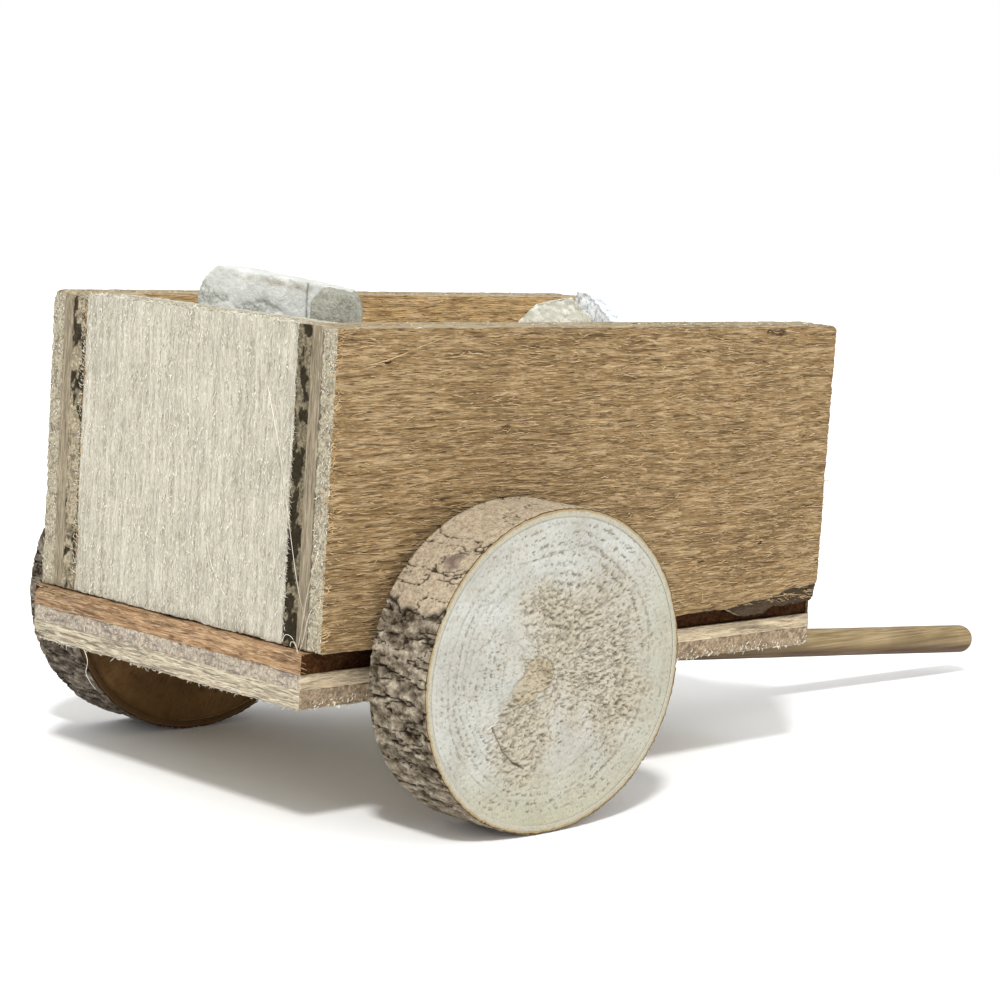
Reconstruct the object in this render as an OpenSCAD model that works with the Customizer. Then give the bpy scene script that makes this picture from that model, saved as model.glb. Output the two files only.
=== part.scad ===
// Small two-wheeled wooden ore cart: a plywood box on two slices of a branch,
// with a round, slightly tapered stick for a drawbar and a load of broken stone.
// X runs towards the tip of the drawbar, Y from the near side to the far side, Z up.
// The origin is under the middle of the whole cart, at the height of the wheels' lowest points.

/* [Box] */
// Length of the side boards
box_len = 119; // [100:1:160]
// Width over the outer faces of the side boards
box_w = 70; // [56:1:100]
// Height of the side boards and the front board
side_h = 49; // [38:1:70]
// Height of the low rear board
rear_h = 38; // [20:1:38]

/* [Plywood] */
// Thickness of each of the two face veneers
face_ply = 3.3; // [2.6:0.1:4]
// Thickness of the core veneer, whose grain runs across the faces'
core_ply = 2.4; // [1.6:0.1:3.6]

/* [Base] */
// How far the base stands out in front of the box
front_lip = 1.5; // [0:0.1:5]
// How far the base stands out behind the box
rear_lip = 1.5; // [0:0.1:5]
// How far the near side board overhangs the base
near_inset = 2.5; // [0:0.1:3]
// How far the base stands out past the far side board
far_lip = 1.5; // [0:0.1:2]
// Radius of the worn corner at the far front
worn_corner = 3; // [1:0.5:8]

/* [Broken veneer] */
// Length of the strip broken off the near side's face veneer, along its lower edge
chip_len = 25; // [10:1:40]
// Height of the broken strip at the board's end
chip_h = 2.4; // [1:0.1:8]
// How far the broken line waves
chip_wave = 0.25; // [0:0.05:0.6]

/* [Wheels] */
// Mean radius of a wheel, bark included
wheel_r = 27.1; // [22:0.1:32]
// Width of a wheel
wheel_w = 12.5; // [10:0.5:20]
// How much longer than the mean the wheel's long radius is
wheel_oval = 1.35; // [0:0.05:3]
// How far the axle hole lies below the middle of the slice
wheel_off = 1.2; // [0:0.1:3]
// Thickness of the bark
bark_t = 1.5; // [0.8:0.1:3]
// Gap between the near side board and its wheel
near_gap = 1.5; // [0.5:0.1:5]
// Gap between the far side board and its wheel
far_gap = 2.3; // [2.1:0.1:6]

/* [Axle] */
// Axle's diameter
axle_d = 4; // [3:0.1:5]
// Radial clearance of the axle in the base
axle_clear = 0.05; // [0.02:0.01:0.1]
// Distance of the axle from the front ends of the side boards
axle_x = 37; // [32:0.5:44]
// How deep the axle is glued into each wheel
axle_seat = 8; // [4:0.5:9]

/* [Drawbar] */
// Drawbar's diameter at its tip
drawbar_tip_d = 5.9; // [4:0.1:8]
// Drawbar's diameter at its hidden end
drawbar_root_d = 5.3; // [4:0.1:8]
// Drawbar's whole length
drawbar_len = 150; // [120:1:180]
// How far the drawbar reaches past the rear edge of the base
drawbar_reach = 97; // [80:1:110]
// How steeply the drawbar runs down towards its tip, in degrees
drawbar_drop = 3.85; // [2:0.05:6]
// Width of the glue that beds the drawbar
glue_w = 9; // [8.5:0.5:14]
// How far the glue stops short of each end of its bed
glue_margin = 6; // [3:0.5:12]

/* [Stones] */
// Height of the low stones at the two ends of the box
bed_h = 24; // [14:1:30]
// Height of the low stones in the middle of the box
middle_h = 33; // [24:1:36]
// Gap between neighbouring stones, and between stones and boards
stone_gap = 0.3; // [0.2:0.05:1]
// Length of the two low stones behind the front board
front_bed_l = 20; // [18:1:24]
// Length of the two low stones at the rear
rear_bed_l = 38; // [32:1:44]
// Width of the low stone in the near front corner
front_near_bed_w = 8.6; // [7:0.1:9]
// Width of the low stone in the near rear corner
rear_near_bed_w = 19; // [12:0.5:20]
// Height above the rim that the pale stone reaches
pale_stone_rise = 6.4; // [2:0.1:12]
// Height above the rim that the grey stone reaches
grey_stone_rise = 4.5; // [2:0.1:12]
// Height above the rim that the cream stone reaches
cream_stone_rise = 1.8; // [1:0.1:8]
// Height above the rim that the streaked stone reaches
streaked_stone_rise = 2.6; // [1:0.1:8]

/* [Hidden] */

$fn = 64;
eps = 1;                                     // how far a cutting tool runs past what it cuts
board_t = 2 * face_ply + core_ply;           // thickness of every board
front_len = box_w - 2 * board_t;             // length of the front and rear boards, between the sides

// The base, in plan
base_x0 = -front_lip;
base_x1 = box_len + rear_lip;
base_y0 = near_inset;
base_y1 = box_w + far_lip;

// The axle lies in the middle of the base's thickness
axle_z = -board_t / 2;
near_wheel_y = -near_gap - wheel_w;          // outer face of the near wheel
far_wheel_y = box_w + far_gap;               // inner face of the far wheel

// The slice of branch: slightly oval, and drilled a little below its middle
outline_steps = 96;
function slice_r(a, r) = r + wheel_oval * cos(2 * a) + wheel_off * sin(a);
function slice(r) = [
    for (i = [0 : outline_steps - 1])
        let (a = 360 * i / outline_steps)
        slice_r(a, r) * [cos(a), sin(a)]
];
wheel_drop = max([for (p = slice(wheel_r)) -p[1]]);

// The drawbar's hidden end touches the underside of the base
tip_x = base_x1 + drawbar_reach;
tip_r = drawbar_tip_d / 2;
root_r = drawbar_root_d / 2;
drawbar_run = drawbar_len - tip_r;           // from the hidden end to the centre of the domed tip
drawbar_x0 = tip_x - tip_r - drawbar_run * cos(drawbar_drop);
drawbar_z0 = -board_t - root_r * cos(drawbar_drop);
drawbar_y = box_w / 2;
function drawbar_z(x) = drawbar_z0 - (x - drawbar_x0) * tan(drawbar_drop);

// Where the cart's own corner goes, so that the origin is under the middle of the whole cart
shift = [
    -(base_x0 + tip_x) / 2,
    -(near_wheel_y + far_wheel_y + wheel_w) / 2,
    wheel_drop - axle_z
];

// The inside of the box, less the gap all round
in_x0 = board_t + stone_gap;
in_x1 = box_len - board_t - stone_gap;
in_y0 = board_t + stone_gap;
in_y1 = box_w - board_t - stone_gap;
in_mid = (in_y0 + in_y1) / 2;

// Where the low stones meet
front_bed_x1 = in_x0 + front_bed_l;
rear_bed_x0 = in_x1 - rear_bed_l;
front_split = in_y0 + front_near_bed_w + stone_gap / 2;
rear_split = in_y0 + rear_near_bed_w + stone_gap / 2;

// The plans of the stones that show. The front ones count from the box's near front corner inside, the
// rear ones from its near rear corner inside.
pale_plan = [[0, 35.1], [10.5, 9.5], [16.2, 15.1], [7.7, 38.3]];
grey_plan = [[1.6, 9.6], [6.1, 2.1], [9.2, 5.5], [9, 9.4], [5.6, 13.6]];
cream_plan = [[-25.7, 36.5], [-20.2, 22.9], [-15.7, 27.3], [-19.2, 39.1]];
streaked_plan = [[-17.5, 21], [-14.2, 22], [-9.2, 26.7], [-10.2, 37.4], [-14.2, 32.4], [-14.6, 28]];

module placed() {
    translate(shift) children();
}

// One board as a stack along its thickness: layer 0 is the outer face, 1 the core, 2 the inner face
function ply_from(layer) = [0, face_ply, face_ply + core_ply][layer];
function ply_t(layer) = [face_ply, core_ply, face_ply][layer];

// The axle's hole, through the whole width of the base
module axle_hole() {
    translate([axle_x, base_y0 - eps, axle_z])
        rotate([-90, 0, 0])
            cylinder(h = base_y1 - base_y0 + 2 * eps, d = axle_d + 2 * axle_clear);
}

// The base's outline, with one corner worn round
module base_layer(layer) {
    difference() {
        translate([base_x0, base_y0, -ply_from(layer) - ply_t(layer)])
            cube([base_x1 - base_x0, base_y1 - base_y0, ply_t(layer)]);
        axle_hole();
        translate([base_x0, base_y1, -board_t - eps])
            difference() {
                translate([-eps, -worn_corner, 0])
                    cube([worn_corner + eps, worn_corner + eps, board_t + 2 * eps]);
                translate([worn_corner, -worn_corner, -eps])
                    cylinder(h = board_t + 4 * eps, r = worn_corner);
            }
    }
}

module base_top_ply() {
    color("#b5835c") placed() base_layer(0);
}

module base_core_ply() {
    color("#a3917f") placed() base_layer(1);
}

module base_bottom_ply() {
    color("#c9b08a") placed() base_layer(2);
}

// A layer of a side board; its outer face is at y = 0, and its inner face at y = board_t
module side_layer(layer) {
    translate([0, ply_from(layer), 0]) cube([box_len, ply_t(layer), side_h]);
}

// The wavy line along which the strip broke off, from the board's lower edge up to its end
chip_steps = 12;
chip_line = [
    for (i = [0 : chip_steps])
        let (t = i / chip_steps)
        [box_len - chip_len * (1 - t), chip_h * t + chip_wave * sin(540 * t) * sin(180 * t)]
];

module near_side_outer_ply() {
    color("#a67c52")
        placed()
            difference() {
                side_layer(0);
                translate([0, face_ply + eps, 0])
                    rotate([90, 0, 0])
                        linear_extrude(height = face_ply + 2 * eps)
                            polygon(concat(
                                chip_line,
                                [[box_len + eps, chip_h], [box_len + eps, -eps], [box_len - chip_len, -eps]]
                            ));
            }
}

module near_side_core_ply() {
    color("#c8ab7f") placed() side_layer(1);
}

module near_side_inner_ply() {
    color("#a8845a") placed() side_layer(2);
}

// The far side board is the near one's mirror image, without the break
module far_side_layer(layer) {
    translate([0, box_w, 0]) mirror([0, 1, 0]) side_layer(layer);
}

module far_side_outer_ply() {
    color("#a67c52") placed() far_side_layer(0);
}

module far_side_core_ply() {
    color("#c8ab7f") placed() far_side_layer(1);
}

module far_side_inner_ply() {
    color("#a8845a") placed() far_side_layer(2);
}

// A layer of the front board, flush with the ends and the rims of the sides
module front_layer(layer) {
    translate([ply_from(layer), board_t, 0]) cube([ply_t(layer), front_len, side_h]);
}

module front_outer_ply() {
    color("#ddd0b5") placed() front_layer(0);
}

module front_core_ply() {
    color("#c8ab7f") placed() front_layer(1);
}

module front_inner_ply() {
    color("#d2c09c") placed() front_layer(2);
}

// A layer of the low rear board, flush with the rear ends of the sides
module rear_layer(layer) {
    translate([box_len - ply_from(layer) - ply_t(layer), board_t, 0])
        cube([ply_t(layer), front_len, rear_h]);
}

module rear_outer_ply() {
    color("#ddd0b5") placed() rear_layer(0);
}

module rear_core_ply() {
    color("#c8ab7f") placed() rear_layer(1);
}

module rear_inner_ply() {
    color("#d2c09c") placed() rear_layer(2);
}

module axle() {
    color("#caa56c")
        placed()
            translate([axle_x, -near_gap - axle_seat, axle_z])
                rotate([-90, 0, 0])
                    cylinder(h = far_wheel_y + near_gap + 2 * axle_seat, d = axle_d);
}

// Puts a slice drawn in the XY plane upright, with its lower face at y
module upright(y) {
    translate([axle_x, y + wheel_w, axle_z])
        rotate([90, 0, 0])
            children();
}

// The wood of a wheel, with the blind hole that the axle is glued into, open at height mouth
module wheel_disc(seat_z) {
    difference() {
        linear_extrude(height = wheel_w) polygon(slice(wheel_r - bark_t));
        translate([0, 0, seat_z]) cylinder(h = axle_seat + eps, d = axle_d);
    }
}

module wheel_bark() {
    linear_extrude(height = wheel_w)
        difference() {
            polygon(slice(wheel_r));
            polygon(slice(wheel_r - bark_t));
        }
}

module near_wheel_disc() {
    color("#d8cfae") placed() upright(near_wheel_y) wheel_disc(-eps);
}

module near_wheel_bark() {
    color("#7d6f5e") placed() upright(near_wheel_y) wheel_bark();
}

module far_wheel_disc() {
    color("#d8cfae") placed() upright(far_wheel_y) wheel_disc(wheel_w - axle_seat);
}

module far_wheel_bark() {
    color("#7d6f5e") placed() upright(far_wheel_y) wheel_bark();
}

module drawbar_stick() {
    translate([drawbar_x0, drawbar_y, drawbar_z0])
        rotate([0, 90 + drawbar_drop, 0]) {
            cylinder(h = drawbar_run, r1 = root_r, r2 = tip_r);
            translate([0, 0, drawbar_run]) sphere(r = tip_r);
        }
}

module drawbar() {
    color("#c79a5b") placed() drawbar_stick();
}

// Hardened glue that fills the wedge between the base and the upper half of the drawbar
module drawbar_glue() {
    x0 = drawbar_x0 + glue_margin;
    x1 = base_x1 - glue_margin;
    color("#d9cfa8")
        placed()
            difference() {
                translate([0, drawbar_y + glue_w / 2, 0])
                    rotate([90, 0, 0])
                        linear_extrude(height = glue_w)
                            polygon([
                                [x0, -board_t],
                                [x1, -board_t],
                                [x1, drawbar_z(x1)],
                                [x0, drawbar_z(x0)]
                            ]);
                drawbar_stick();
            }
}

// A broken stone that fills most of a box of this size, on its own flat foot. Each break is a plane that
// cuts a corner or an edge off, and faces at most top_rise degrees upward, so its top stays wide and flat.
module stone(corner, size, seed, breaks = 9, top_rise = 8) {
    turns = rands(0, 360, breaks, seed);
    rises = rands(-38, top_rise, breaks, seed + 1);
    depths = rands(0.86, 1.04, breaks, seed + 2);
    reach = 4 * max(size);
    translate(corner + size / 2)
        intersection() {
            cube(size, center = true);
            intersection_for(i = [0 : breaks - 1]) {
                away = [cos(turns[i]) * cos(rises[i]), sin(turns[i]) * cos(rises[i]), sin(rises[i])];
                half = [away[0] * size[0], away[1] * size[1], away[2] * size[2]] / 2;
                rotate([0, 90 - rises[i], turns[i]])
                    translate([0, 0, depths[i] * norm(half) - reach / 2])
                        cube(reach, center = true);
            }
        }
}

// A broken stone that stands on its plan, from z0 up to z1. Each break is [x, y, drop, turn, rise]: a plane
// through the point drop below z1 that faces turn degrees round and rise degrees up.
module broken_block(plan, z0, z1, breaks) {
    reach = 4 * (z1 - z0);
    intersection() {
        translate([0, 0, z0]) linear_extrude(z1 - z0) polygon(plan);
        intersection_for(b = breaks)
            translate([b[0], b[1], z1 - b[2]])
                rotate([0, 90 - b[4], b[3]])
                    translate([0, 0, -reach / 2])
                        cube(reach, center = true);
    }
}

// One of the six low stones: column from x0 to x1, on the near or the far side of the plane at y = split
module bed_stone(x0, x1, far, h, seed, split = in_mid) {
    y0 = far ? split + stone_gap / 2 : in_y0;
    y1 = far ? in_y1 : split - stone_gap / 2;
    stone([x0, y0, 0], [x1 - x0, y1 - y0, h], seed);
}

module front_near_bed_stone() {
    color("#b9b7ae") placed() bed_stone(in_x0, front_bed_x1, false, bed_h, 11, front_split);
}

module front_far_bed_stone() {
    color("#c4c1b6") placed() bed_stone(in_x0, front_bed_x1, true, bed_h, 23, front_split);
}

module middle_near_bed_stone() {
    color("#cfcabd") placed() bed_stone(front_bed_x1 + stone_gap, rear_bed_x0 - stone_gap, false, middle_h, 37);
}

module middle_far_bed_stone() {
    color("#b3b2ab") placed() bed_stone(front_bed_x1 + stone_gap, rear_bed_x0 - stone_gap, true, middle_h, 41);
}

module rear_near_bed_stone() {
    color("#c9c3b3") placed() bed_stone(rear_bed_x0, in_x1, false, bed_h, 53, rear_split);
}

module rear_far_bed_stone() {
    color("#bcbab2") placed() bed_stone(rear_bed_x0, in_x1, true, bed_h, 67, rear_split);
}

// A slab on edge, askew behind the front board. Its top slopes down to the near side, and its upper far
// corner is broken round.
module pale_stone() {
    color("#dcdedb")
        placed()
            translate([in_x0, in_y0, 0])
                broken_block(pale_plan, bed_h, side_h + pale_stone_rise, [
                    [0, 31.5, 0, -50.9, 84.1],
                    [0, 35, 4.3, 100, 14],
                    [0, 33.6, 1.8, 100, 45],
                    [16.2, 15.1, 24, 30, -12],
                    [0, 35.1, 26, 160, -24]
                ]);
}

// A small stone in the near front corner, in front of the pale one
module grey_stone() {
    color("#b4b4ac")
        placed()
            translate([in_x0, in_y0, 0])
                broken_block(grey_plan, bed_h, side_h + grey_stone_rise, [
                    [2.5, 7.6, 0, -56, 81],
                    [1.7, 9.3, 1.7, 135, 42],
                    [6.1, 2.1, 4.7, -52, 20],
                    [9.2, 5.5, 3.2, -20, 22],
                    [6.1, 2.1, 24, -90, -15]
                ]);
}

module cream_stone() {
    color("#e6dfcc")
        placed()
            translate([box_len - board_t, in_y0, 0])
                broken_block(cream_plan, bed_h, side_h + cream_stone_rise, [
                    [-21.2, 28.5, 0, 118, 74],
                    [-24.7, 33.5, 2, 125, 42],
                    [-20.8, 26, 1, -44, 46],
                    [-16.5, 30, 1.5, 20, 60],
                    [-25.7, 36.5, 22, 190, -20]
                ]);
}

module streaked_stone() {
    color("#d5dade")
        placed()
            translate([box_len - board_t, in_y0, 0])
                broken_block(streaked_plan, bed_h, side_h + streaked_stone_rise, [
                    [-14, 31.5, 0, -70, 83],
                    [-14, 29.4, 0.4, -60, 54],
                    [-9.2, 30, 2.4, 5, 48],
                    [-9.2, 26.7, 23, -20, -16]
                ]);
}

base_top_ply();
base_core_ply();
base_bottom_ply();
near_side_outer_ply();
near_side_core_ply();
near_side_inner_ply();
far_side_outer_ply();
far_side_core_ply();
far_side_inner_ply();
front_outer_ply();
front_core_ply();
front_inner_ply();
rear_outer_ply();
rear_core_ply();
rear_inner_ply();
axle();
near_wheel_disc();
near_wheel_bark();
far_wheel_disc();
far_wheel_bark();
drawbar();
drawbar_glue();
front_near_bed_stone();
front_far_bed_stone();
middle_near_bed_stone();
middle_far_bed_stone();
rear_near_bed_stone();
rear_far_bed_stone();
pale_stone();
grey_stone();
cream_stone();
streaked_stone();
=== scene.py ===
import math
import bpy
import numpy as np
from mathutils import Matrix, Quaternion, Vector


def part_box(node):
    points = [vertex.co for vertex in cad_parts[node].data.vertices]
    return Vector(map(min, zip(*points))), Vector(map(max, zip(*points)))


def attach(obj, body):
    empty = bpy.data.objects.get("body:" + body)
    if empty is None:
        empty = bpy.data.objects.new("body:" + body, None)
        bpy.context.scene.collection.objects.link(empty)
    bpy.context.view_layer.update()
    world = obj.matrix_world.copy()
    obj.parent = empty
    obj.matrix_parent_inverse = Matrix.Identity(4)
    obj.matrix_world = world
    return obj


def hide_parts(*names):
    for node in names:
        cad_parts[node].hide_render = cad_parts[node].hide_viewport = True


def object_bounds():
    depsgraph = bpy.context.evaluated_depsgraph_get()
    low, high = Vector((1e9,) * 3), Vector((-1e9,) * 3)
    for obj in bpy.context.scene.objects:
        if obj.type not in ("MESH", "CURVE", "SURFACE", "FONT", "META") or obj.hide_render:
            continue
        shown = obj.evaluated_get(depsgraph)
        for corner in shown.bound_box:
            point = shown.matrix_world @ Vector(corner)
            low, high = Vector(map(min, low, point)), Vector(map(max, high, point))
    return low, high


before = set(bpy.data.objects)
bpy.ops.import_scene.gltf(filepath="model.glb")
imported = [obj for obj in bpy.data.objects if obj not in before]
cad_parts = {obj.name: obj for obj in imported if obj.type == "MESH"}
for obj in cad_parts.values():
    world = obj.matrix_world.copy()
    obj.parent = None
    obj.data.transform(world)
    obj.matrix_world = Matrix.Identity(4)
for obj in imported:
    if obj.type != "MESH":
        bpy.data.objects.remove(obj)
cadLow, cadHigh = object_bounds()
mm = 0.001
print("frame loaded,", len(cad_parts), "nodes")


def meshPoints(node):  # a CAD node's own points, in mm
    points = np.array([v.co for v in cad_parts[node].data.vertices], float)
    return points / mm


def boxOf(node):  # its lowest and highest corner, in mm
    low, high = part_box(node)
    return np.array(low) / mm, np.array(high) / mm


def hexToLinear(code):  # sRGB hex, such as "#a38863", to the linear colour that Blender wants
    values = [int(code[i:i + 2], 16) / 255 for i in (1, 3, 5)]
    return [v / 12.92 if v <= 0.04045 else ((v + 0.055) / 1.055) ** 2.4 for v in values] + [1]


def smooth(value, start, end):  # 0 before start, 1 after end, and a soft step between
    t = np.clip((value - start) / (end - start), 0, 1)
    return t * t * (3 - 2 * t)


def latticeNoise(points, seed):  # smooth noise, -1 to 1, one value a point
    cell = np.floor(points).astype(np.int64)
    part = points - cell
    part = part * part * (3 - 2 * part)
    total = np.zeros(len(points))
    for corner in range(8):
        step = np.array([corner & 1, corner >> 1 & 1, corner >> 2 & 1])
        at = cell + step
        code = at[:, 0] * 374761393 + at[:, 1] * 668265263 + at[:, 2] * 1440662683 + seed * 97531
        code = code & 0xffffffff
        code = ((code ^ (code >> 13)) * 1274126177) & 0xffffffff
        code = code ^ (code >> 16)
        weight = np.prod(np.where(step == 1, part, 1 - part), axis=1)
        total += weight * ((code & 0xffff) / 32767.5 - 1)
    return total


def roughNoise(points, sizes, seed, octaves=3):  # sizes are the widths of the largest bumps, in mm
    scaled = points / np.array(sizes, float)
    total = np.zeros(len(points))
    share = 1
    for octave in range(octaves):
        total += share * latticeNoise(scaled * 2 ** octave, seed + 17 * octave)
        share /= 2
    return total


def bumps(gain, points, sizes, seed, octaves=3):  # the same noise round 0.5, kept from 0 to 1
    return np.clip(0.5 + gain * roughNoise(points, sizes, seed, octaves), 0, 1)


def newPiece(name, points, faces, materials, slots=None, isSmooth=True):  # points in mm
    mesh = bpy.data.meshes.new(name)
    mesh.from_pydata((np.asarray(points) * mm).tolist(), [], faces)
    for material in materials:
        mesh.materials.append(material)
    if slots is not None:
        mesh.polygons.foreach_set("material_index", np.asarray(slots, np.int32))
    mesh.polygons.foreach_set("use_smooth", np.full(len(mesh.polygons), isSmooth))
    mesh.update()
    made = bpy.data.objects.new(name, mesh)
    bpy.context.scene.collection.objects.link(made)
    return made


def paint(piece, name, *channels):  # up to four values, 0 to 1, for every point of a piece
    layer = piece.data.color_attributes.new(name, "FLOAT_COLOR", "POINT")
    values = np.ones((len(piece.data.vertices), 4), np.float32)
    for number, channel in enumerate(channels):
        values[:, number] = channel
    layer.data.foreach_set("color", values.ravel())


def standIn(piece, body, slot, *nodes):
    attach(piece, body)
    if nodes:
        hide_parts(*nodes)
    return piece


view = {
    "azimuth": -45.717,  # degrees round the cart, as the frame counts them
    "elevation": 7.396,
    "roll": 3.648,
    "lens": 100.165,  # mm, on a 36 mm sensor
    "distance": 513.93,  # mm from the aim
    "aim": (-17.433, 17.642, -1.294),  # mm from the middle of the cart's box
}


def makeCamera():
    data = bpy.data.cameras.new("studioCamera")
    data.sensor_width = 36
    data.lens = view["lens"]
    data.clip_start, data.clip_end = 0.02, 30
    made = bpy.data.objects.new("studioCamera", data)
    bpy.context.scene.collection.objects.link(made)
    a, e = math.radians(view["azimuth"]), math.radians(view["elevation"])
    back = Vector((math.sin(a) * math.cos(e), -math.cos(a) * math.cos(e), math.sin(e)))
    aim = (cadLow + cadHigh) / 2 + Vector(view["aim"]) * mm
    made.rotation_mode = "QUATERNION"
    roll = Quaternion((0, 0, 1), math.radians(view["roll"]))
    made.rotation_quaternion = (-back).to_track_quat("-Z", "Y") @ roll
    made.location = aim + back * view["distance"] * mm
    bpy.context.scene.camera = made


studio = {
    "paperHex": "#fdfdfc",
    "paperSize": 60000,  # mm
    "skyForCamera": 1.0,
    "skyForObject": 0.9,
    # name: azimuth, elevation, softness in degrees, strength
    "lamps": {"keyLight": (-48, 50, 7, 2.2), "fillLight": (30, 28, 70, 0.3)},
}


def makeStudio():
    half = studio["paperSize"] / 2
    corners = [(-half, -half, 0), (half, -half, 0), (half, half, 0), (-half, half, 0)]
    paper = bpy.data.materials.new("paleBackgroundPaper")
    paper.use_nodes = True
    shader = paper.node_tree.nodes["Principled BSDF"]
    shader.inputs["Base Color"].default_value = hexToLinear(studio["paperHex"])
    shader.inputs["Roughness"].default_value = 0.9
    floor = newPiece("studioFloor", np.array(corners, float), [(0, 1, 2, 3)], [paper], isSmooth=False)
    floor.location.z = -0.00002
    world = bpy.data.worlds.new("paleStudio")
    bpy.context.scene.world = world
    world.use_nodes = True
    tree = world.node_tree
    sky = tree.nodes["Background"]
    sky.inputs["Color"].default_value = (0.985, 0.99, 1.0, 1)
    sky.inputs["Strength"].default_value = studio["skyForObject"]
    seen = addNode(tree, "Background", {"Color": (1, 1, 1, 1), "Strength": studio["skyForCamera"]})
    path = addNode(tree, "LightPath")
    both = addNode(tree, "MixShader", {}, {
        0: path.outputs["Is Camera Ray"], 1: sky.outputs[0], 2: seen.outputs[0]})
    tree.links.new(both.outputs[0], tree.nodes["World Output"].inputs["Surface"])
    for name, (azimuth, elevation, softness, strength) in studio["lamps"].items():
        a, e = math.radians(azimuth), math.radians(elevation)
        back = Vector((math.sin(a) * math.cos(e), -math.cos(a) * math.cos(e), math.sin(e)))
        lamp = bpy.data.lights.new(name, "SUN")
        lamp.angle = math.radians(softness)
        lamp.energy = strength
        made = bpy.data.objects.new(name, lamp)
        made.location = back
        made.rotation_euler = (-back).to_track_quat("-Z", "Y").to_euler()
        bpy.context.scene.collection.objects.link(made)
    bpy.context.scene.view_settings.view_transform = "Standard"


def addNode(tree, kind, settings=None, links=None):  # inputs go by name or number, the rest are properties
    made = tree.nodes.new("ShaderNode" + kind)
    for key, value in (settings or {}).items():
        if key == "stops":
            stops = made.color_ramp.elements
            while len(stops) < len(value):
                stops.new(0.5)
            for stop, (place, colour) in zip(stops, value):
                stop.position = place
                stop.color = hexToLinear(colour) if isinstance(colour, str) else (colour,) * 3 + (1,)
        elif isinstance(key, int) or key in made.inputs.keys():
            made.inputs[key].default_value = value
        else:
            setattr(made, key, value)
    for key, source in (links or {}).items():
        tree.links.new(source, made.inputs[key])
    return made


# a pattern's scale is 1000 / its size in mm, because scales count per metre
def startMaterial(name, roughness, specular, more=None):
    made = bpy.data.materials.new(name)
    made.use_nodes = True
    tree = made.node_tree
    sockets = dict({"Roughness": roughness, "Specular IOR Level": specular}, **(more or {}))
    for socket, value in sockets.items():
        tree.nodes["Principled BSDF"].inputs[socket].default_value = value
    return made, tree, addNode(tree, "TexCoord").outputs["Object"]


def painted(tree, name):  # the values that paint() gave to every point
    source = addNode(tree, "VertexColor", {"layer_name": name})
    return addNode(tree, "SeparateColor", {}, {"Color": source.outputs["Color"]}).outputs


def darkened(tree, colour, shades):  # each: a pattern, where it is darkest, how dark, and where that ends
    for factor, start, dark, end in shades:
        ramp = addNode(tree, "ValToRGB", {"stops": [(start, dark), (end, 1.0)]}, {"Fac": factor})
        colour = addNode(tree, "Mix", {"data_type": "RGBA", "blend_type": "MULTIPLY", 0: 1.0},
                         {6: colour, 7: ramp.outputs[0]}).outputs[2]
    return colour


def spotted(tree, colour, spots):  # each: a pattern, where it starts and is full, how strong, its colour
    for factor, start, end, share, code in spots:
        mask = addNode(tree, "MapRange", {"From Min": start, "From Max": end, "To Max": share},
                       {"Value": factor})
        colour = addNode(tree, "Mix", {"data_type": "RGBA", 7: hexToLinear(code)},
                         {0: mask.outputs[0], 6: colour}).outputs[2]
    return colour


def surfaced(made, colour, height, strength, deep):  # gives a material its colour, and relief deep mm
    tree = made.node_tree
    shader = tree.nodes["Principled BSDF"]
    bump = addNode(tree, "Bump", {"Strength": strength, "Distance": deep * mm}, {"Height": height})
    tree.links.new(colour, shader.inputs["Base Color"])
    tree.links.new(bump.outputs[0], shader.inputs["Normal"])
    return made


def stretched(along, across, axis):  # the scale, per metre, of a pattern that is long on one axis
    sizes = {a: across for a in "XYZ"}
    sizes[axis] = along
    return [1000 / sizes[a] for a in "XYZ"]


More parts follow.
